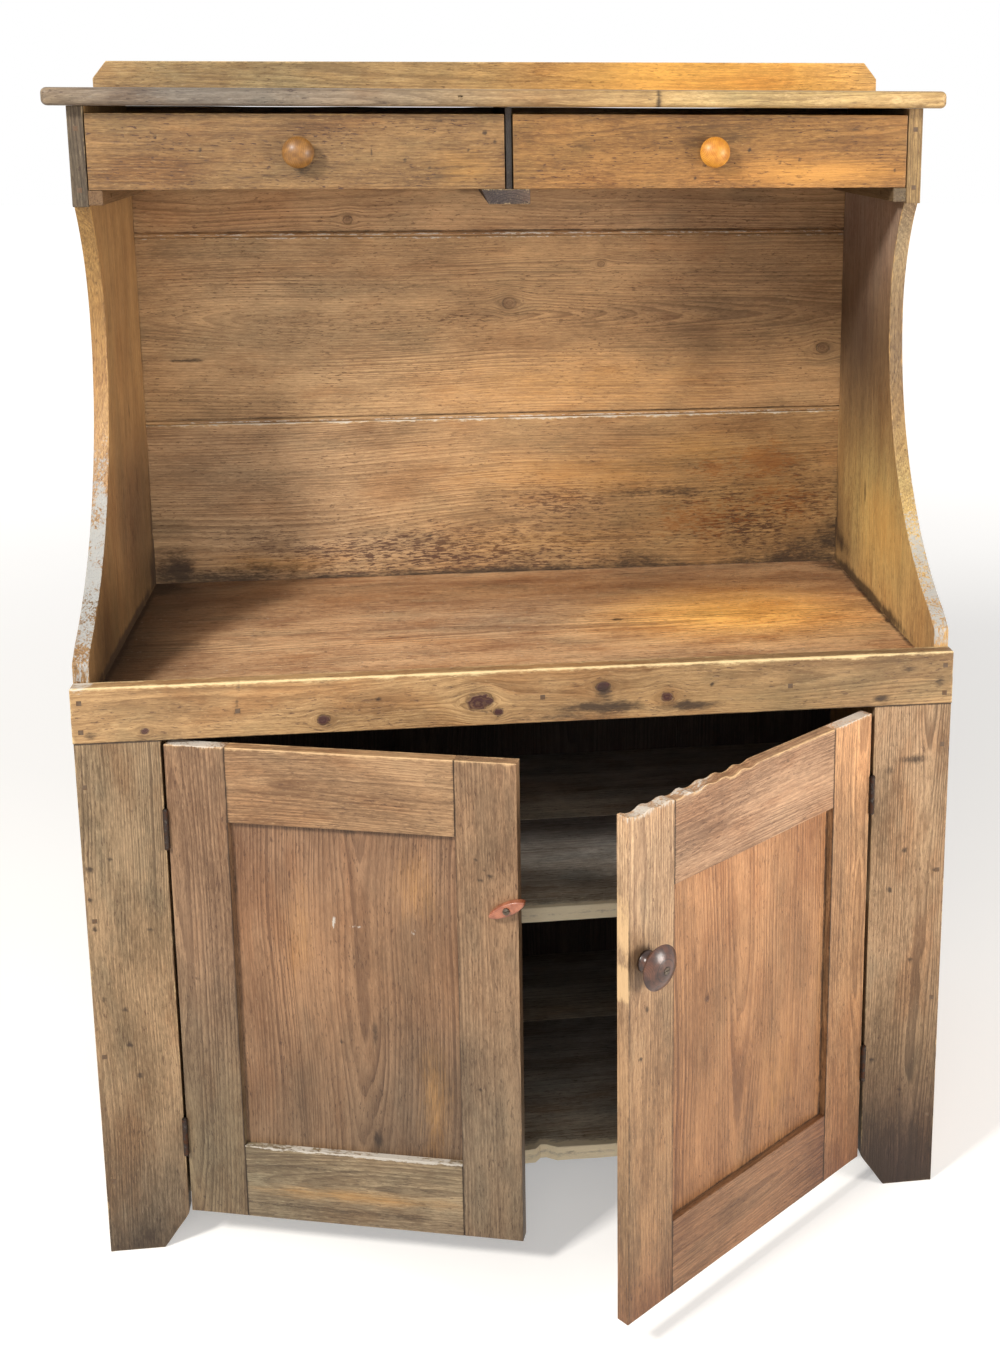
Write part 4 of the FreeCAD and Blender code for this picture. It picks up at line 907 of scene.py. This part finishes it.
# %% Tubes
def tube(rings, ends):
    """Rings of points with four-cornered faces between them, closed by a fan from one end point or two."""
    count, around = rings.shape[:2]
    i, j = np.meshgrid(np.arange(count - 1), np.arange(around), indexing="ij")
    one, two = i * around + j, i * around + (j + 1) % around
    here = np.arange(around)
    after = (here + 1) % around
    first, last = np.full(around, count * around), (count - 1) * around
    faces = [np.stack([one, one + around, two + around, two], axis=-1).reshape(-1, 4),
             np.stack([first, here, after], axis=1), np.stack([first + 1, last + after, last + here], axis=1)]
    return np.concatenate([rings.reshape(-1, 3), np.array(ends, float)]), faces[:len(ends) + 1]


# %% Arcs
def arc(start, middle, end, count):
    """Points on the circle through three points, from the first to the last, without the first."""
    (ax, ay), (bx, by), (cx, cy) = start, middle, end
    d = 2 * (ax * (by - cy) + bx * (cy - ay) + cx * (ay - by))
    ux = ((ax**2 + ay**2) * (by - cy) + (bx**2 + by**2) * (cy - ay) + (cx**2 + cy**2) * (ay - by)) / d
    uy = ((ax**2 + ay**2) * (cx - bx) + (bx**2 + by**2) * (ax - cx) + (cx**2 + cy**2) * (bx - ax)) / d
    angles = np.unwrap([math.atan2(y - uy, x - ux) for x, y in (start, middle, end)])
    turns = np.linspace(angles[0], angles[2], count + 1)[1:]
    radius = math.hypot(ax - ux, ay - uy)
    return [(ux + radius * math.cos(t), uy + radius * math.sin(t)) for t in turns]


# %% Lathe
def lathe(name, profile, centre, around=72, door=None):
    """Rings (r cos s, -d, r sin s) about the knob's axis, with d towards the front, and two end points."""
    profile = np.array(profile)
    s = np.linspace(0, 2 * math.pi, around, endpoint=False)
    r, d = profile[1:-1, 0, None], profile[1:-1, 1, None]
    rings = np.stack([r * np.cos(s), -np.repeat(d, around, 1), r * np.sin(s)], axis=-1)
    points, faces = tube(rings, [(0, -profile[0, 1], 0), (0, -profile[-1, 1], 0)])
    return surface(name, in_row(points + np.array(centre, float), door), faces)


# %% Knob profiles
def head(radius, throat_radius, throat, rim, crest, count=14):
    """A knob's head: a nearly flat underside, a rounded edge and a dome."""
    start = (radius - 2.0, (throat + rim) / 2)
    rise = crest - rim
    ball = (radius ** 2 + rise ** 2) / (2 * rise)
    angle = math.asin(min(1.0, radius / ball)) / 2
    middle = (ball * math.sin(angle), crest - ball * (1 - math.cos(angle)))
    line = [(throat_radius + (start[0] - throat_radius) * k / 4, throat + (start[1] - throat) * k / 4)
            for k in (1, 2, 3, 4)]
    line += arc(start, (radius - .5, rim - (rim - throat) / 4), (radius, rim), 5)
    return line + arc((radius, rim), middle, (0.02, crest), count)


DRAWER_KNOB = [(0, 0), (9.6, 0), (10, .4)] + arc((10, .4), (8, 6), (10.5, 12), 10)
DRAWER_KNOB += head(21.3, 10.5, 12, 16.25, 29)
DRAWER_KNOB[-1] = (0, 29)
DOOR_KNOB = [(0, 0), (13.4, 0), (14, .6), (14, 3.4), (13.4, 4)] + arc((13.4, 4), (10.5, 12), (14.5, 20), 10)
DOOR_KNOB += [p for p in head(29, 14.5, 20, 25.95, 37, 22) if p[0] > 5.4]
DOOR_KNOB += [(5.0, 36.6), (4.66, 36.2), (4.65, 34.6), (2.3, 34.6), (2.25, 34.2), (2.25, 30), (0, 30)]
print("knob profiles", len(DRAWER_KNOB), len(DOOR_KNOB))

# %% [markdown]
# ## Turned wood and button wood
# The drawer knobs are polished maple, the door's knob is a dark hardwood, and the button is reddish. Their
# grain runs along the axis of the knob and shows on the dome as faint curves. Object coordinates, centred by
# a Mapping node, place it.


# %% Turned wood
def turned_wood(name, colours, centre, turn, rough, coat=.4, rings_on=()):
    """Years across the axis, fine fibres and a coat of polish. centre is in the loaded frame, in mm."""
    pale, deep, line = colours
    f = Finish(name)
    place = f.in_millimetres(f.node("Mapping", {"vector_type": "TEXTURE"},
                                    {"Vector": f.node("TexCoord", output=3), "Rotation": turn,
                                     "Location": tuple(v * MM for v in centre)}))
    x, y, z = f.parts(place)
    wobble = f.noise(place, (.05, .02, .05), 2.0, .5, 4.0) - .5
    radius = ((x + 31) ** 2.0 + (z * .9 + 12) ** 2.0) ** .5 + wobble * 5
    season = (radius / 2.2).math("FRACT")
    late = season.rise(.35, .9) * season.rise(.93, 1.0, 1.0, 0.0)
    cloud = f.noise(place, (.09, .04, .09), 3.0, .6, 9.0).rise(.32, .68)
    thread = f.noise(place, (1.4, .08, 1.4), 3.0, .6, 14.0)
    nick = f.noise(place, (.5,), 3.0, .75, 23.0).rise(.66, .72)
    colour = f.mix(cloud, pale, deep)
    for share in (late * .4, thread.rise(.5, .8) * .5, nick * .5):
        colour = f.mix(share, colour, line)
    spread = (x * x + z * z) ** .5
    for ring_radius, width, strength in rings_on:
        colour = f.mix(spread.peak(ring_radius, width) * strength, colour, (30, 18, 12))
    height = late * .15 + thread * .25 - nick * .6
    return f.close(colour, rough + (thread - .5) * .12 + nick * .2, height, .0002, .6, Coat_Weight=coat,
                   Coat_Roughness=.18, Specular_IOR_Level=.5)


# %% Drawer knobs
for name, x, spin, colours in (("left", -287.75, .35, ((152, 106, 48), (114, 76, 34), (86, 55, 28))),
                               ("right", 285.75, .70, ((216, 150, 54), (188, 120, 38), (140, 84, 28)))):
    place = (x, DRAWER_FACE + FRONT, 1500)
    wood = turned_wood("pale_knob_wood_" + name, colours, place, (0, spin, 0), .46, .05)
    fitted(lathe(name + "_drawer_knob_turned", DRAWER_KNOB, (x, DRAWER_FACE, 1500)), wood,
           name + "_drawer_knob", "drawer_" + name)
print("drawer knobs done")

# %% [markdown]
# ## Drawers
# Each drawer has a front that laps over the ends of its sides, two sides, a low back and a thin bottom. Only
# the front is smooth and coloured; the rest is plain pine that shows when the drawer is pulled out.


# %% Drawer fronts
def lapped(length):
    """The front is only 8 mm thick over the 12 mm at each end, where the sides lie behind it."""
    def cut(points, nominal):
        at_end = (points[:, 0] < 12.0) | (points[:, 0] > length - 12.0)
        points[:, 2] = np.where(at_end, np.minimum(points[:, 2], 8.0), points[:, 2])
        return points
    return cut


DRAWERS = {
    # Left drawer: the first tone and the dark spot at (-285, 1475) below the knob are the knob's painted
    # shadow, and the gold patch is painted light.
    "left": (-567.6, -7.9, 91, [((.86, .90, .95), -287.75, 1478, 40, 12),
                                ((.80, .93, 1.2), -290, 1500, 600, 200)],
             {"dirt_and_shade": [(-85, 1543, 40, 5, .55), (-35, 1526, 3, 3, 1), (-21, 1514, 3, 3, .9),
                       (-58, 1503, 3, 2.5, .9), (-145, 1489, 3, 2.5, .9), (-111, 1478, 3, 2.5, .9),
                       (-104, 1467, 2.5, 3, .9), (-477, 1521, 2.5, 2.5, .9), (-419, 1503, 2.5, 2.5, .9),
                       (-190, 1500, 1.5, 9, .8), (-285, 1475, 13, 7, .5)],
              "gold": [(-60, 1480, 60, 26, .5)]}),
    # Right drawer: the first tone and the gold band are painted sunlight along its lower part, and the second
    # tone is the painted shadow of the top's overhang.
    "right": (3.9, 567.6, 92, [((1.3, 1.22, 1.02), 440, 1472, 170, 22),
                               ((.88, .90, .88), 285, 1522, 400, 36)],
              {"dirt_and_shade": [(274, 1482, 2.5, 2.5, 1), (210, 1506, 2.5, 2.5, .9), (260, 1464, 2.5, 2.5, 1),
                        (338, 1503, 2.5, 2.5, 1), (382, 1485, 2.5, 2.5, .9), (411, 1489, 2.5, 2.5, .9),
                        (468, 1545, 12, 1.5, .9), (490, 1531, 10, 1.5, .8), (551, 1474, 3, 3, 1)],
               "gold": [(450, 1470, 150, 18, .8)]}),
}
print("drawers", len(DRAWERS))

# %% Drawer parts
REAR, SIDE_TOP, BOTTOM_TOP = 575, 1548.5, 1463.5
for name, (x0, x1, seed, tones, spots) in DRAWERS.items():
    length = x1 - x0
    board(name + "_drawer_front", "drawer_front_pine", "xzy", (x0, 1449.5, DRAWER_FACE),
          (x1, 1551.5, DRAWER_FACE + 20), "drawer_" + name, step=(3.0, 3.0), edge=1.4, seed=seed,
          shape=lapped(length), lines_along=(11.95, 12.05, length - 12.05, length - 11.95), pith=(15, -35),
          slope=(.006, .008), worn=(.5, .5, .35, .6), grimy=(.3, .3, .3, 0), wave=.35, spots=spots,
          tones=tones)
    for part, axes, low, high, step, later in (
            ("left_side", "yzx", (241.1, 1449.5, x0), (REAR, SIDE_TOP, x0 + 12), (8.0, 6.0), 2),
            ("right_side", "yzx", (241.1, 1449.5, x1 - 12), (REAR, SIDE_TOP, x1), (8.0, 6.0), 2),
            ("back", "xzy", (x0 + 12.1, BOTTOM_TOP, 563), (x1 - 12.1, SIDE_TOP, REAR), (9.0, 6.0), 4),
            ("bottom", "xyz", (x0 + 7, 248.1, 1455.6), (x1 - 7, REAR, BOTTOM_TOP), (10.0, 10.0), 6)):
        board(name + "_drawer_" + part, "drawer_inner_pine", axes, low, high, "drawer_" + name, step=step,
              edge=.8, seed=seed + later, pith=(10, -40))
print("drawers done")

# %% [markdown]
# ## Doors
# Each door is two stiles, two rails and a sunk panel. The rails are let in between the stiles, so the grain
# turns at each joint, and the thin dark lines there come from the softened edges. The right door's top edge
# is gnawed.


# %% Gnawed edge
DOOR_HEIGHT, DOOR_THICK, STILE_WIDE = 690, 19, 82
RIGHT_WIDE = 482                           # the right door's width, where its free edge lies


def gnaw(u):
    """Seven shallow round hollows, 34 mm apart from the free edge inwards, each of its own depth."""
    depth = np.zeros_like(u)
    for i in range(7):
        shallower = .5 * (1 - math.cos(math.radians(137.5) * i)) / 2
        away = np.minimum(np.abs(RIGHT_WIDE - 20.5 - 34 * i - u), 26)
        depth = np.maximum(depth, np.sqrt(26 ** 2 - away ** 2) - 26 + 4.5 * (1 - shallower))
    return -np.maximum(depth, 0)


def gnawed_top(points, nominal):
    """Points near the upper end of the right door's lock stile drop by the hollows' depth."""
    points[:, 0] += gnaw(points[:, 1] + RIGHT_WIDE - STILE_WIDE) * smooth(points[:, 0], 630, 682)
    return points


# %% Door marks
# For each door: its width, its foot's height, the widths of its rails, the first seed, what is gnawed or
# knotty, and the tones and marks of each part. The first tones lie on all parts but the top rail.
DOORS = {
    "left": dict(
        width=471, foot=55, top=105, bottom=109, seed=101, bite={},
        # The first tone dims the whole left door, all but its top rail, as painted shade.
        tones=[((.86, .88, .95), 400, 240, 3000, 3000), ((.78, .84, .88), 60, 240, 250, 900),
               ((.84, .84, .88), 400, 40, 400, 60), ((.86, .92, 1.0), 240, 330, 150, 90)],
        hinge_stile=([((.76, .89, .90), 150, 40, 220, 900)],
                     {"dirt_and_shade": [(78, 20, 4, 3, .9)], "dust_and_highlight": [(745, 41, 1.5, 40, .9)]}),
        lock_stile=([((.88, .95, 1.0), 200, 440, 220, 900)],
                    {"dirt_and_shade": [(588, 434, 3, 5, .8), (597, 426, 3, 3, .8), (582, 421, 4, 4, .9),
                              (610, 415, 3, 3, .9), (279, 415, 3, 3, .9)]}),
        top_rail=([((.95, .98, 1.0), 240, 680, 400, 200)], {}),
        bottom_rail=([((1.04, 1.26, 1.34), 240, 107, 900, 900)],
                     {"dust_and_highlight": [(280, 163, 200, 1.8, 1.0)], "gold": [(250, 100, 170, 12, .6)],
                      "dirt_and_shade": [(250, 76, 190, 5, .5), (180, 138, 120, 4, .45), (330, 118, 90, 4, .4)]}),
        panel=([((.80, .84, .88), 200, 240, 130, 900), ((.86, .89, .96), 620, 240, 120, 900)],
               {"gold": [(560, 330, 60, 40, .4), (250, 350, 90, 24, .5), (480, 170, 90, 30, .35)],
                "dust_and_highlight": [(504, 219, 9, 2.6, 1), (500, 250, 2.4, 8, .8), (496, 327, 6, 2.6, .9)],
                # The long dark lines along the panel's top and hinge side are painted shadow in the recess.
                "dirt_and_shade": [(640, 240, 12, 200, .5), (186, 269, 12, 6, .8), (345, 270, 26, 4, .55),
                         (329, 224, 3, 3, .9), (400, 84, 600, 3.5, .5)]})),
    "right": dict(
        width=RIGHT_WIDE, foot=51, top=114, bottom=106, seed=111,
        bite={"lock_stile": dict(shape=gnawed_top), "top_rail": dict(high_edge=gnaw),
              "panel": dict(knots=[(439, 327, 3.5)])},
        # The second tone lifts the upper part as painted light, and the third darkens it towards the foot as
        # painted shade.
        tones=[((.97, .94, .91), 400, 240, 3000, 3000), ((1.5, 1.48, 1.5), 740, 300, 210, 900),
               ((.60, .46, .40), 30, 240, 110, 900)],
        hinge_stile=([((1.14, 1.13, 1.13), 700, 40, 250, 900), ((.97, .92, .88), 150, 40, 200, 900)],
                     {"dirt_and_shade": [(326, 54, 3, 3, .9)], "dust_and_highlight": [(741, 41, 2, 60, .8)]}),
        lock_stile=([((1.1, 1.3, 1.54), 680, 440, 220, 900), ((.92, .94, .94), 250, 440, 200, 900)],
                    {"dirt_and_shade": [(415, 460, 3, 3, .9), (478, 448, 5, 3, .9), (400, 480.4, 900, 1.0, .6)],
                     "worn": [(600, 482, 60, 4, .9), (522, 482, 26, 3.5, 1.6)],
                     "dust_and_highlight": [(740, 441, 6, 60, .7)]}),
        top_rail=([((1.2, 1.24, 1.44), 240, 680, 400, 200)],
                  {"dirt_and_shade": [(183, 726, 5, 4, .9)], "dust_and_highlight": [(370, 741, 50, 5, .6)]}),
        # The bottom rail's tone is painted shade.
        bottom_rail=([((.70, .62, .60), 240, 107, 900, 900)], {}),
        panel=([((.94, .90, .86), 200, 240, 160, 900)],
               # The long dark lines along the panel's hinge side and lower edge are painted shadow in the
               # recess.
               {"dirt_and_shade": [(400, 84, 600, 3.5, .9), (156, 240, 3.5, 400, .9), (594, 280, 30, 3, .4)],
                "gold": [(240, 180, 120, 60, .3)]})),
}
print("doors", len(DOORS))

# %% Door parts
OUTER = dict(step=(3.6, 3.6), edge=1.2, wave=.35)
UPRIGHT = dict(OUTER, slope=(.005, .01), worn=(.3, .9, .4, .4))
for name, door in DOORS.items():
    far, foot, crest = door["width"] - STILE_WIDE, door["foot"], door["foot"] + DOOR_HEIGHT
    low, high = foot + door["bottom"], crest - door["top"]
    parts = (
        ("hinge_stile", "zuy", (foot, 0, 0), (crest, STILE_WIDE, DOOR_THICK),
         dict(UPRIGHT, pith=(-30, -45), grimy=(0, 0, 0, .8))),
        ("lock_stile", "zuy", (foot, far, 0), (crest, door["width"], DOOR_THICK),
         dict(UPRIGHT, pith=(20, -35), grimy=(0, 0, .8, 0))),
        ("top_rail", "uzy", (STILE_WIDE, high, 0), (far, crest, DOOR_THICK),
         dict(OUTER, pith=(0, -25), slope=(.003, .004), worn=(0, 0, .2, 1.0), grimy=(.9, .9, .3, 0))),
        ("bottom_rail", "uzy", (STILE_WIDE, foot, 0), (far, low, DOOR_THICK),
         dict(OUTER, pith=(10, -40), worn=(0, 0, .4, .3), grimy=(.9, .9, 0, 0))),
        ("panel", "zuy", (low - 5, STILE_WIDE - 5, 9.1), (high + 5, far + 5, 15.9),
         dict(step=(3.8, 3.8), edge=.8, pith=(20, -50), slope=(.004, .030), wave=.5, worn=(0, 0, 0, 0))),
    )
    for number, (part, axes, start, end, look) in enumerate(parts):
        tones, spots = door[part]
        tones = tones if part == "top_rail" else door["tones"] + tones
        board(name + "_door_" + part, "door_panel_pine" if part == "panel" else "door_frame_pine", axes,
              start, end, door=name, seen="low", seed=door["seed"] + number, tones=tones, spots=spots, **look,
              **door["bite"].get(part, {}))
print("doors done")

# %% [markdown]
# ## Button and knob of the doors
# The button is a small bowed bar that turns on its screw. Rings of one outline, from a small one in the
# middle of the back, out round the edge and in again over the front, make a closed form with soft edges.

# %% Button shape
TILT = math.radians(-25)
HALF_LONG = 26.3


def button(name, centre):
    """Rings of one outline, bowed with round tips, at scale k and depth d, from the back to the front."""
    s = np.linspace(0, 2 * math.pi, 96, endpoint=False)
    cos, sin = np.cos(s), np.sin(s)
    long = np.sign(cos) * np.abs(cos) ** .55 * HALF_LONG
    wide = 4.0 + 4.5 * (1 - (long / HALF_LONG) ** 2)
    across = np.sign(sin) * np.abs(sin) ** .7 * wide
    steps = [(.35, .3), (.75, .3), (.96, .35), (1, 1.2), (1.0, 4.5), (1.0, 8.2), (.985, 9.5), (.94, 10.5),
             (.86, 11.1), (.6, 11.25), (.25, 11.3)]
    rings = np.stack([np.stack([long * (1 - (1 - k) * .45), 0 * s - d, across * k], axis=1)
                      for k, d in steps])
    points, faces = tube(rings, [(0, -.3, 0), (0, -11.3, 0)])
    turn = np.array([[math.cos(TILT), 0, math.sin(TILT)], [0, 1, 0], [-math.sin(TILT), 0, math.cos(TILT)]])
    return surface(name, in_row(points @ turn.T + np.array(centre), "left"), faces)


# %% Button and door knob
def door_point(door, u, z):
    """A point of a door's front as it stands, in the loaded frame."""
    x = -HUNG + u if door == "left" else HUNG - u
    return tuple(float(v) for v in in_row(np.array([[x, 0, z]]), door)[0])


fitted(button("turn_button_shaped", (-20.5, 0, 547)),
       turned_wood("button_wood", ((186, 116, 84), (146, 82, 56), (92, 48, 32)),
                   door_point("left", 457.5, 547), (0, TILT, OPENED["left"]), .32),
       "turn_button", "turn_button")
fitted(lathe("right_door_knob_turned", DOOR_KNOB, (25.5, 0, 546), 96, "right"),
       turned_wood("dark_knob_wood", ((98, 62, 46), (54, 34, 28), (34, 22, 18)),
                   door_point("right", 452.5, 546), (0, .4, OPENED["right"]), .3, .12,
                   ((3.8, 2.4, 1.0), (14.0, 1.2, .8), (20.5, .8, .4))),
       "right_door_knob", "door_right")
print("button and knob done")

# %% [markdown]
# ## Iron
# The hinges, pins, nails and screws keep their own solids. Old iron is dark and rough, with rust where it has
# been damp, and the knob's screw has been polished by hands.


# %% Iron
def iron(name, base, rust, shine, rough=.55, rusty=.5, metal=.85):
    """Dark scale, rust in patches, and bright rubbed places, by noise at two sizes."""
    f = Finish(name)
    place = f.in_millimetres(f.node("TexCoord", output=3))
    patch = f.noise(place, (.16,), 4.0, .6, 5.0)
    fine = f.noise(place, (1.1,), 3.0, .7, 9.0)
    rusted = (patch + (fine - .5) * .5).rise(.62 - rusty * .3, .78 - rusty * .25)
    rubbed = (1 - patch + (fine - .5) * .4).rise(.56, .7) * .5
    colour = f.mix(rusted, base, rust)
    colour = f.mix(rubbed * (1 - rusted), colour, shine)
    return f.close(colour, rough + rusted * .25 - rubbed * .12, fine * .8 + patch * .6, .0003, .7,
                   Metallic=metal, Specular_IOR_Level=.5)


# %% Iron parts
IRON = (
    (iron("old_hinge_iron", (58, 50, 46), (84, 56, 40), (110, 104, 98)),
     ("case_hinge_leaves", "hinge_pins", "left_door_hinge_leaves", "right_door_hinge_leaves",
      "case_hinge_screws", "left_door_hinge_screws", "right_door_hinge_screws")),
    (iron("old_nail_iron", (92, 74, 58), (98, 74, 54), (112, 92, 72), rough=.75, rusty=.6, metal=.1),
     ("case_nails",)),
    (iron("old_screw_steel", (96, 86, 76), (84, 60, 44), (168, 158, 144), rough=.42, rusty=.35),
     ("turn_button_screw", "right_door_knob_screw")),
)
for metal, nodes in IRON:
    for node in nodes:
        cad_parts[node].data.materials.clear()
        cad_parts[node].data.materials.append(metal)
print("iron nodes", sum(len(nodes) for metal, nodes in IRON))

# %% [markdown]
# ## Floor and light
# A wide pale disc is the floor, and everything beyond it is white. It shines a little for the camera, and
# more further away, so that it runs into the white without a line and still keeps the cabinet's shadow. One
# soft lamp stands high at the front left, a wide weak one in front and one at the right.


# %% Floor
def floor_disc(name, colour, reach=26000.0, around=96):
    """A disc: rings of radius reach * k^2 for k from .05 to 1, and a fan in the middle."""
    turn = np.linspace(0, 2 * math.pi, around, endpoint=False)
    radii = reach * np.linspace(.05, 1, 40)[:, None] ** 2
    rings = np.stack([radii * np.cos(turn), radii * np.sin(turn), 0 * radii * turn], axis=-1)
    piece = surface(name, *tube(rings, [(0, 0, 0)]))
    f = Finish(name)
    place = f.node("TexCoord", output=3)
    shade = f.mix(f.noise(place, (2,), 3.0), colour, tuple(v - 4 for v in colour))
    away = f.node("VectorMath", {"operation": "LENGTH"}, {0: place}, output=1)
    glow = f.mix(f.looked_at() * away.rise(1.5, 7.0, .45, 1.0), (0, 0, 0, 1), (1, 1, 1, 1))
    piece.data.materials.append(f.close(shade, 0.9, Emission_Color=glow, Emission_Strength=.8))


floor_disc("studio_floor", (226, 224, 221))
print("floor done")


# %% Soft lamp
def lamp(name, place, aim, size, power, colour):
    """A square soft lamp at a place that faces a point."""
    data = bpy.data.lights.new(name, "AREA")
    data.size = size
    data.energy = power
    data.color = colour
    made = bpy.data.objects.new(name, data)
    bpy.context.collection.objects.link(made)
    made.location = place
    made.rotation_euler = (Vector(aim) - Vector(place)).to_track_quat("-Z", "Y").to_euler()


# %% Lamps and surroundings
lamp("window_lamp", (-2.8, -2.5, 3.6), (.1, .2, .9), .7, 225, (1.0, .97, .92))
lamp("front_lamp", (-.3, -4.0, 2.6), (0, 0, .9), 2.2, 35, (1.0, .98, .96))
lamp("side_lamp", (3.0, -2.0, 1.3), (.2, 0, .6), 1.2, 102, (1.0, .95, .89))
sky = Finish("surroundings", "worlds")
dim = sky.node("Background", {}, {"Color": (1.0, .98, .96, 1.0), "Strength": .34})
white = sky.node("Background", {}, {"Color": (1, 1, 1, 1), "Strength": 1.0})
sky.node("OutputWorld", {}, {"Surface": sky.node("MixShader", {}, {0: sky.looked_at(), 1: dim, 2: white})})
bpy.context.scene.world = sky.owner
bpy.context.scene.view_settings.view_transform = "Standard"
print("lamps", len(bpy.data.lights))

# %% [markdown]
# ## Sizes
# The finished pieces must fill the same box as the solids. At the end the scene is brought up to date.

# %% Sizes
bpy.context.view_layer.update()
